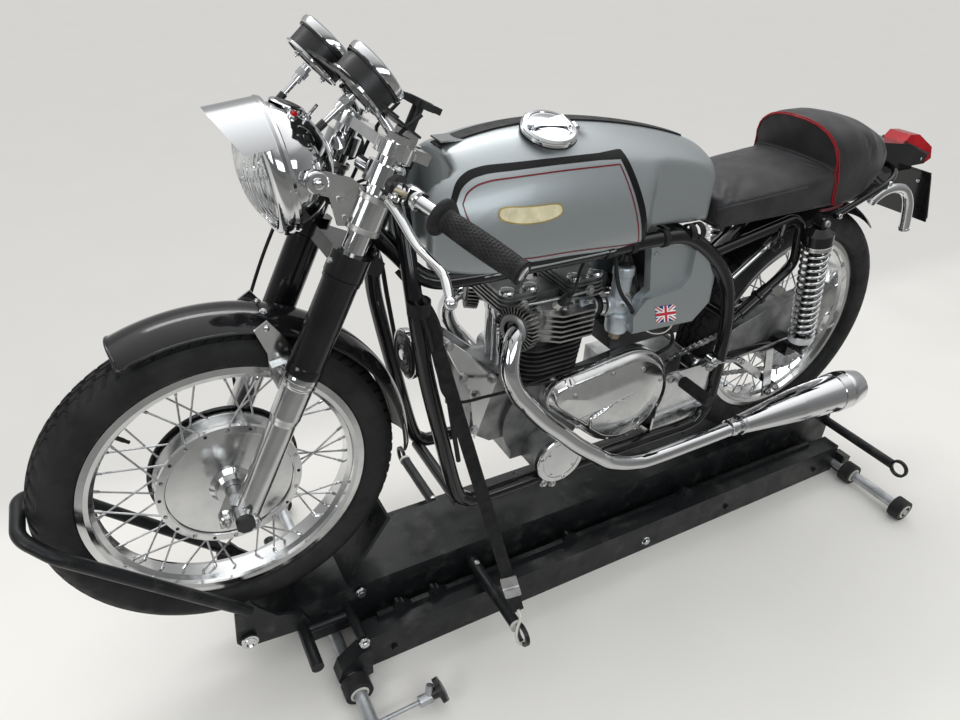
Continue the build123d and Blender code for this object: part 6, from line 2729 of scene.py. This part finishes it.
def make_horn_details():
    """Rim, boss and rings of the horn's grille."""
    add_lathe(
        "horn_rim", [(46, 32), (51, 33), (52, 30), (51, 19), (49, 18)], at(*HORN_AT), AHEAD, chrome,
        "chassis", 64,
    )
    add_lathe(
        "horn_boss", [(0, 36), (12, 37.5), (10, 40), (0, 41)], at(*HORN_AT), AHEAD, chrome, "chassis", 32,
    )
    for k in range(4):
        radius = 20 + 6 * k
        add_lathe(
            f"horn_ring_{k}", [(radius, 33), (radius + 2, 37.6), (radius + 4, 33)], at(*HORN_AT), AHEAD,
            dark_plastic, "chassis", 48,
        )


make_strap()
make_lift_fittings()
make_brake_knob()
make_cables()
make_horn_details()


# Stage, light and camera

FLOOR_HALF = 30.0
BACKDROP_ACROSS = (0.0, -1.0, 0.0)
NEAR_DIM_FROM = 0.38
NEAR_DIM_TO = 0.95
NEAR_DIM = 0.72
BACKDROP_AT = 0.535
BACKDROP_BLEND = 0.25
BACKDROP_SHARE = 0.70
BACKDROP_TONE = (0.655, 0.650, 0.635, 1.0)
SKY_LOW = (0.20, 0.20, 0.20, 1.0)
SKY_HIGH = (0.83, 0.84, 0.85, 1.0)
SKY_STOPS = ((0.30, 0.20), (0.52, 0.28), (0.66, 0.68), (0.80, 0.84))
DIM_TOWARD = (0.5, 0.87, 0.0)
DIM_SPREAD = 0.6
BRIGHT_STRENGTH = 2.1
DIM_STRENGTH = 0.75
LIGHTS = (
    # name, place, aim, size, power, colour
    ("left_strip", (0.2, 2.5, 1.9), (0.1, 0.1, 0.6), (2.8, 0.7), 21, (0.92, 0.97, 1.0)),
    ("right_strip", (0.0, -1.3, 2.7), (0.1, 0.0, 0.4), (3.0, 0.4), 22, (1, 1, 1)),
    ("front_soft", (3.2, 1.4, 2.2), (0.3, 0.0, 0.5), (1.2, 1.2), 20, (1, 1, 1)),
)


def add_math(material, operation, first, second):
    """Math node on two values, each of them an output or a number."""
    node = add_node(material, "ShaderNodeMath", operation=operation)
    for socket, value in zip(node.inputs, (first, second)):
        if isinstance(value, float):
            socket.default_value = value
        else:
            link(material, value, socket)
    return node.outputs[0]


def add_fade(material, value, low, high, end=1.0):
    """Smooth change from 0 to an end value while the input goes from low to high."""
    fade = add_node(material, "ShaderNodeMapRange")
    fade.interpolation_type = "SMOOTHSTEP"
    fade.inputs["From Min"].default_value = low
    fade.inputs["From Max"].default_value = high
    fade.inputs["To Max"].default_value = end
    link(material, value, fade.inputs["Value"])
    return fade.outputs["Result"]


def make_stage():
    """Pale floor that turns into the backdrop's tone well behind the machine."""
    floor_material = new_material("pale_floor", (0.80, 0.785, 0.75), 0.0, 0.6, Specular_IOR_Level=0.15)
    nodes = floor_material.node_tree.nodes
    vary_colour(floor_material, (0.79, 0.775, 0.74), (0.82, 0.805, 0.77), 2.5)
    vary_roughness(floor_material, 0.5, 0.75, 5.0)
    place = add_node(floor_material, "ShaderNodeTexCoord").outputs["Object"]
    across = add_node(floor_material, "ShaderNodeVectorMath", operation="DOT_PRODUCT")
    across.inputs[1].default_value = BACKDROP_ACROSS
    link(floor_material, place, across.inputs[0])
    far = add_fade(floor_material, across.outputs["Value"], BACKDROP_AT, BACKDROP_AT + BACKDROP_BLEND)
    # Painted shade in reflections: metal sees a darker floor on the near side
    near = add_node(floor_material, "ShaderNodeSeparateXYZ")
    link(floor_material, place, near.inputs[0])
    dim = add_fade(floor_material, near.outputs["Y"], NEAR_DIM_FROM, NEAR_DIM_TO, NEAR_DIM)
    ray = add_node(floor_material, "ShaderNodeLightPath").outputs
    amount = add_math(floor_material, "MULTIPLY", dim, ray["Is Glossy Ray"])
    kept = add_math(floor_material, "SUBTRACT", 1.0, amount)
    tone = add_node(floor_material, "ShaderNodeVectorMath", operation="SCALE")
    shader = nodes["Principled BSDF"]
    base = shader.inputs["Base Color"]
    link(floor_material, base.links[0].from_socket, tone.inputs[0])
    link(floor_material, kept, tone.inputs["Scale"])
    link(floor_material, tone.outputs["Vector"], base)
    # Beyond the line the camera and the reflections see the backdrop's own tone
    backdrop = add_node(floor_material, "ShaderNodeEmission", Color=BACKDROP_TONE)
    seen = add_math(floor_material, "MAXIMUM", ray["Is Camera Ray"], ray["Is Glossy Ray"])
    share = add_math(floor_material, "MULTIPLY", seen, far)
    part = add_math(floor_material, "MULTIPLY", share, BACKDROP_SHARE)
    mix = add_node(floor_material, "ShaderNodeMixShader")
    for source, socket in zip((part, shader.outputs["BSDF"], backdrop.outputs["Emission"]), mix.inputs):
        link(floor_material, source, socket)
    link(floor_material, mix.outputs["Shader"], nodes["Material Output"].inputs["Surface"])
    corners = [
        (-FLOOR_HALF, -FLOOR_HALF), (FLOOR_HALF, -FLOOR_HALF), (FLOOR_HALF, FLOOR_HALF),
        (-FLOOR_HALF, FLOOR_HALF),
    ]
    floor = bpy.data.meshes.new("floor")
    floor.from_pydata([(x, y, floor_z) for x, y in corners], [], [(0, 1, 2, 3)])
    floor.materials.append(floor_material)
    floor_object = bpy.data.objects.new("floor", floor)
    bpy.context.scene.collection.objects.link(floor_object)


def add_area_light(name, place, aim, size, energy, colour):
    data = bpy.data.lights.new(name, "AREA")
    data.shape = "RECTANGLE"
    data.size, data.size_y = size
    data.energy = energy
    data.color = colour
    lamp = bpy.data.objects.new(name, data)
    lamp.visible_camera = False
    lamp.location = place
    lamp.rotation_mode = "QUATERNION"
    lamp.rotation_quaternion = (Vector(aim) - Vector(place)).to_track_quat("-Z", "Y")
    bpy.context.scene.collection.objects.link(lamp)


def light_the_stage():
    """Bright from above and from the far side, dim behind the camera."""
    world = bpy.data.worlds.new("studio")
    world.use_nodes = True
    tree = world.node_tree
    nodes = tree.nodes
    background = nodes["Background"]
    direction = nodes.new("ShaderNodeTexCoord")
    height = nodes.new("ShaderNodeSeparateXYZ")
    tree.links.new(direction.outputs["Generated"], height.inputs[0])
    rise = nodes.new("ShaderNodeValToRGB")
    rise.color_ramp.elements[0].position = 0.0
    rise.color_ramp.elements[0].color = SKY_LOW
    rise.color_ramp.elements[1].position = 1.0
    rise.color_ramp.elements[1].color = SKY_HIGH
    for position, tone in SKY_STOPS:
        stop = rise.color_ramp.elements.new(position)
        stop.color = (tone, tone, tone, 1.0)
    tree.links.new(height.outputs["Z"], rise.inputs["Fac"])
    toward = nodes.new("ShaderNodeVectorMath")
    toward.operation = "DOT_PRODUCT"
    toward.inputs[1].default_value = DIM_TOWARD
    tree.links.new(direction.outputs["Generated"], toward.inputs[0])
    side = nodes.new("ShaderNodeMapRange")
    side.inputs["From Min"].default_value = -DIM_SPREAD
    side.inputs["From Max"].default_value = DIM_SPREAD
    side.inputs["To Min"].default_value = BRIGHT_STRENGTH
    side.inputs["To Max"].default_value = DIM_STRENGTH
    tree.links.new(toward.outputs["Value"], side.inputs["Value"])
    tree.links.new(rise.outputs["Color"], background.inputs["Color"])
    tree.links.new(side.outputs["Result"], background.inputs["Strength"])
    # The camera sees the backdrop's pale tone beyond the floor
    backdrop = nodes.new("ShaderNodeBackground")
    backdrop.inputs["Color"].default_value = BACKDROP_TONE
    ray = nodes.new("ShaderNodeLightPath")
    mix = nodes.new("ShaderNodeMixShader")
    tree.links.new(ray.outputs["Is Camera Ray"], mix.inputs[0])
    tree.links.new(background.outputs[0], mix.inputs[1])
    tree.links.new(backdrop.outputs[0], mix.inputs[2])
    tree.links.new(mix.outputs[0], nodes["World Output"].inputs["Surface"])
    bpy.context.scene.world = world
    for light in LIGHTS:
        add_area_light(*light)
    bpy.context.scene.view_settings.view_transform = "Standard"


def add_camera():
    right, up, forward = camera_axes()
    data = bpy.data.cameras.new("photo_camera")
    data.sensor_fit = "HORIZONTAL"
    data.sensor_width = SENSOR
    data.lens = FOCAL_PX / PHOTO_WIDTH * SENSOR
    data.clip_start = 0.05
    data.clip_end = 60.0
    camera = bpy.data.objects.new("photo_camera", data)
    axes = Matrix((right, up, -forward)).transposed()
    camera.matrix_world = Matrix.Translation(at(*CAMERA_AT)) @ axes.to_4x4()
    bpy.context.scene.collection.objects.link(camera)
    bpy.context.scene.camera = camera


make_stage()
light_the_stage()
add_camera()
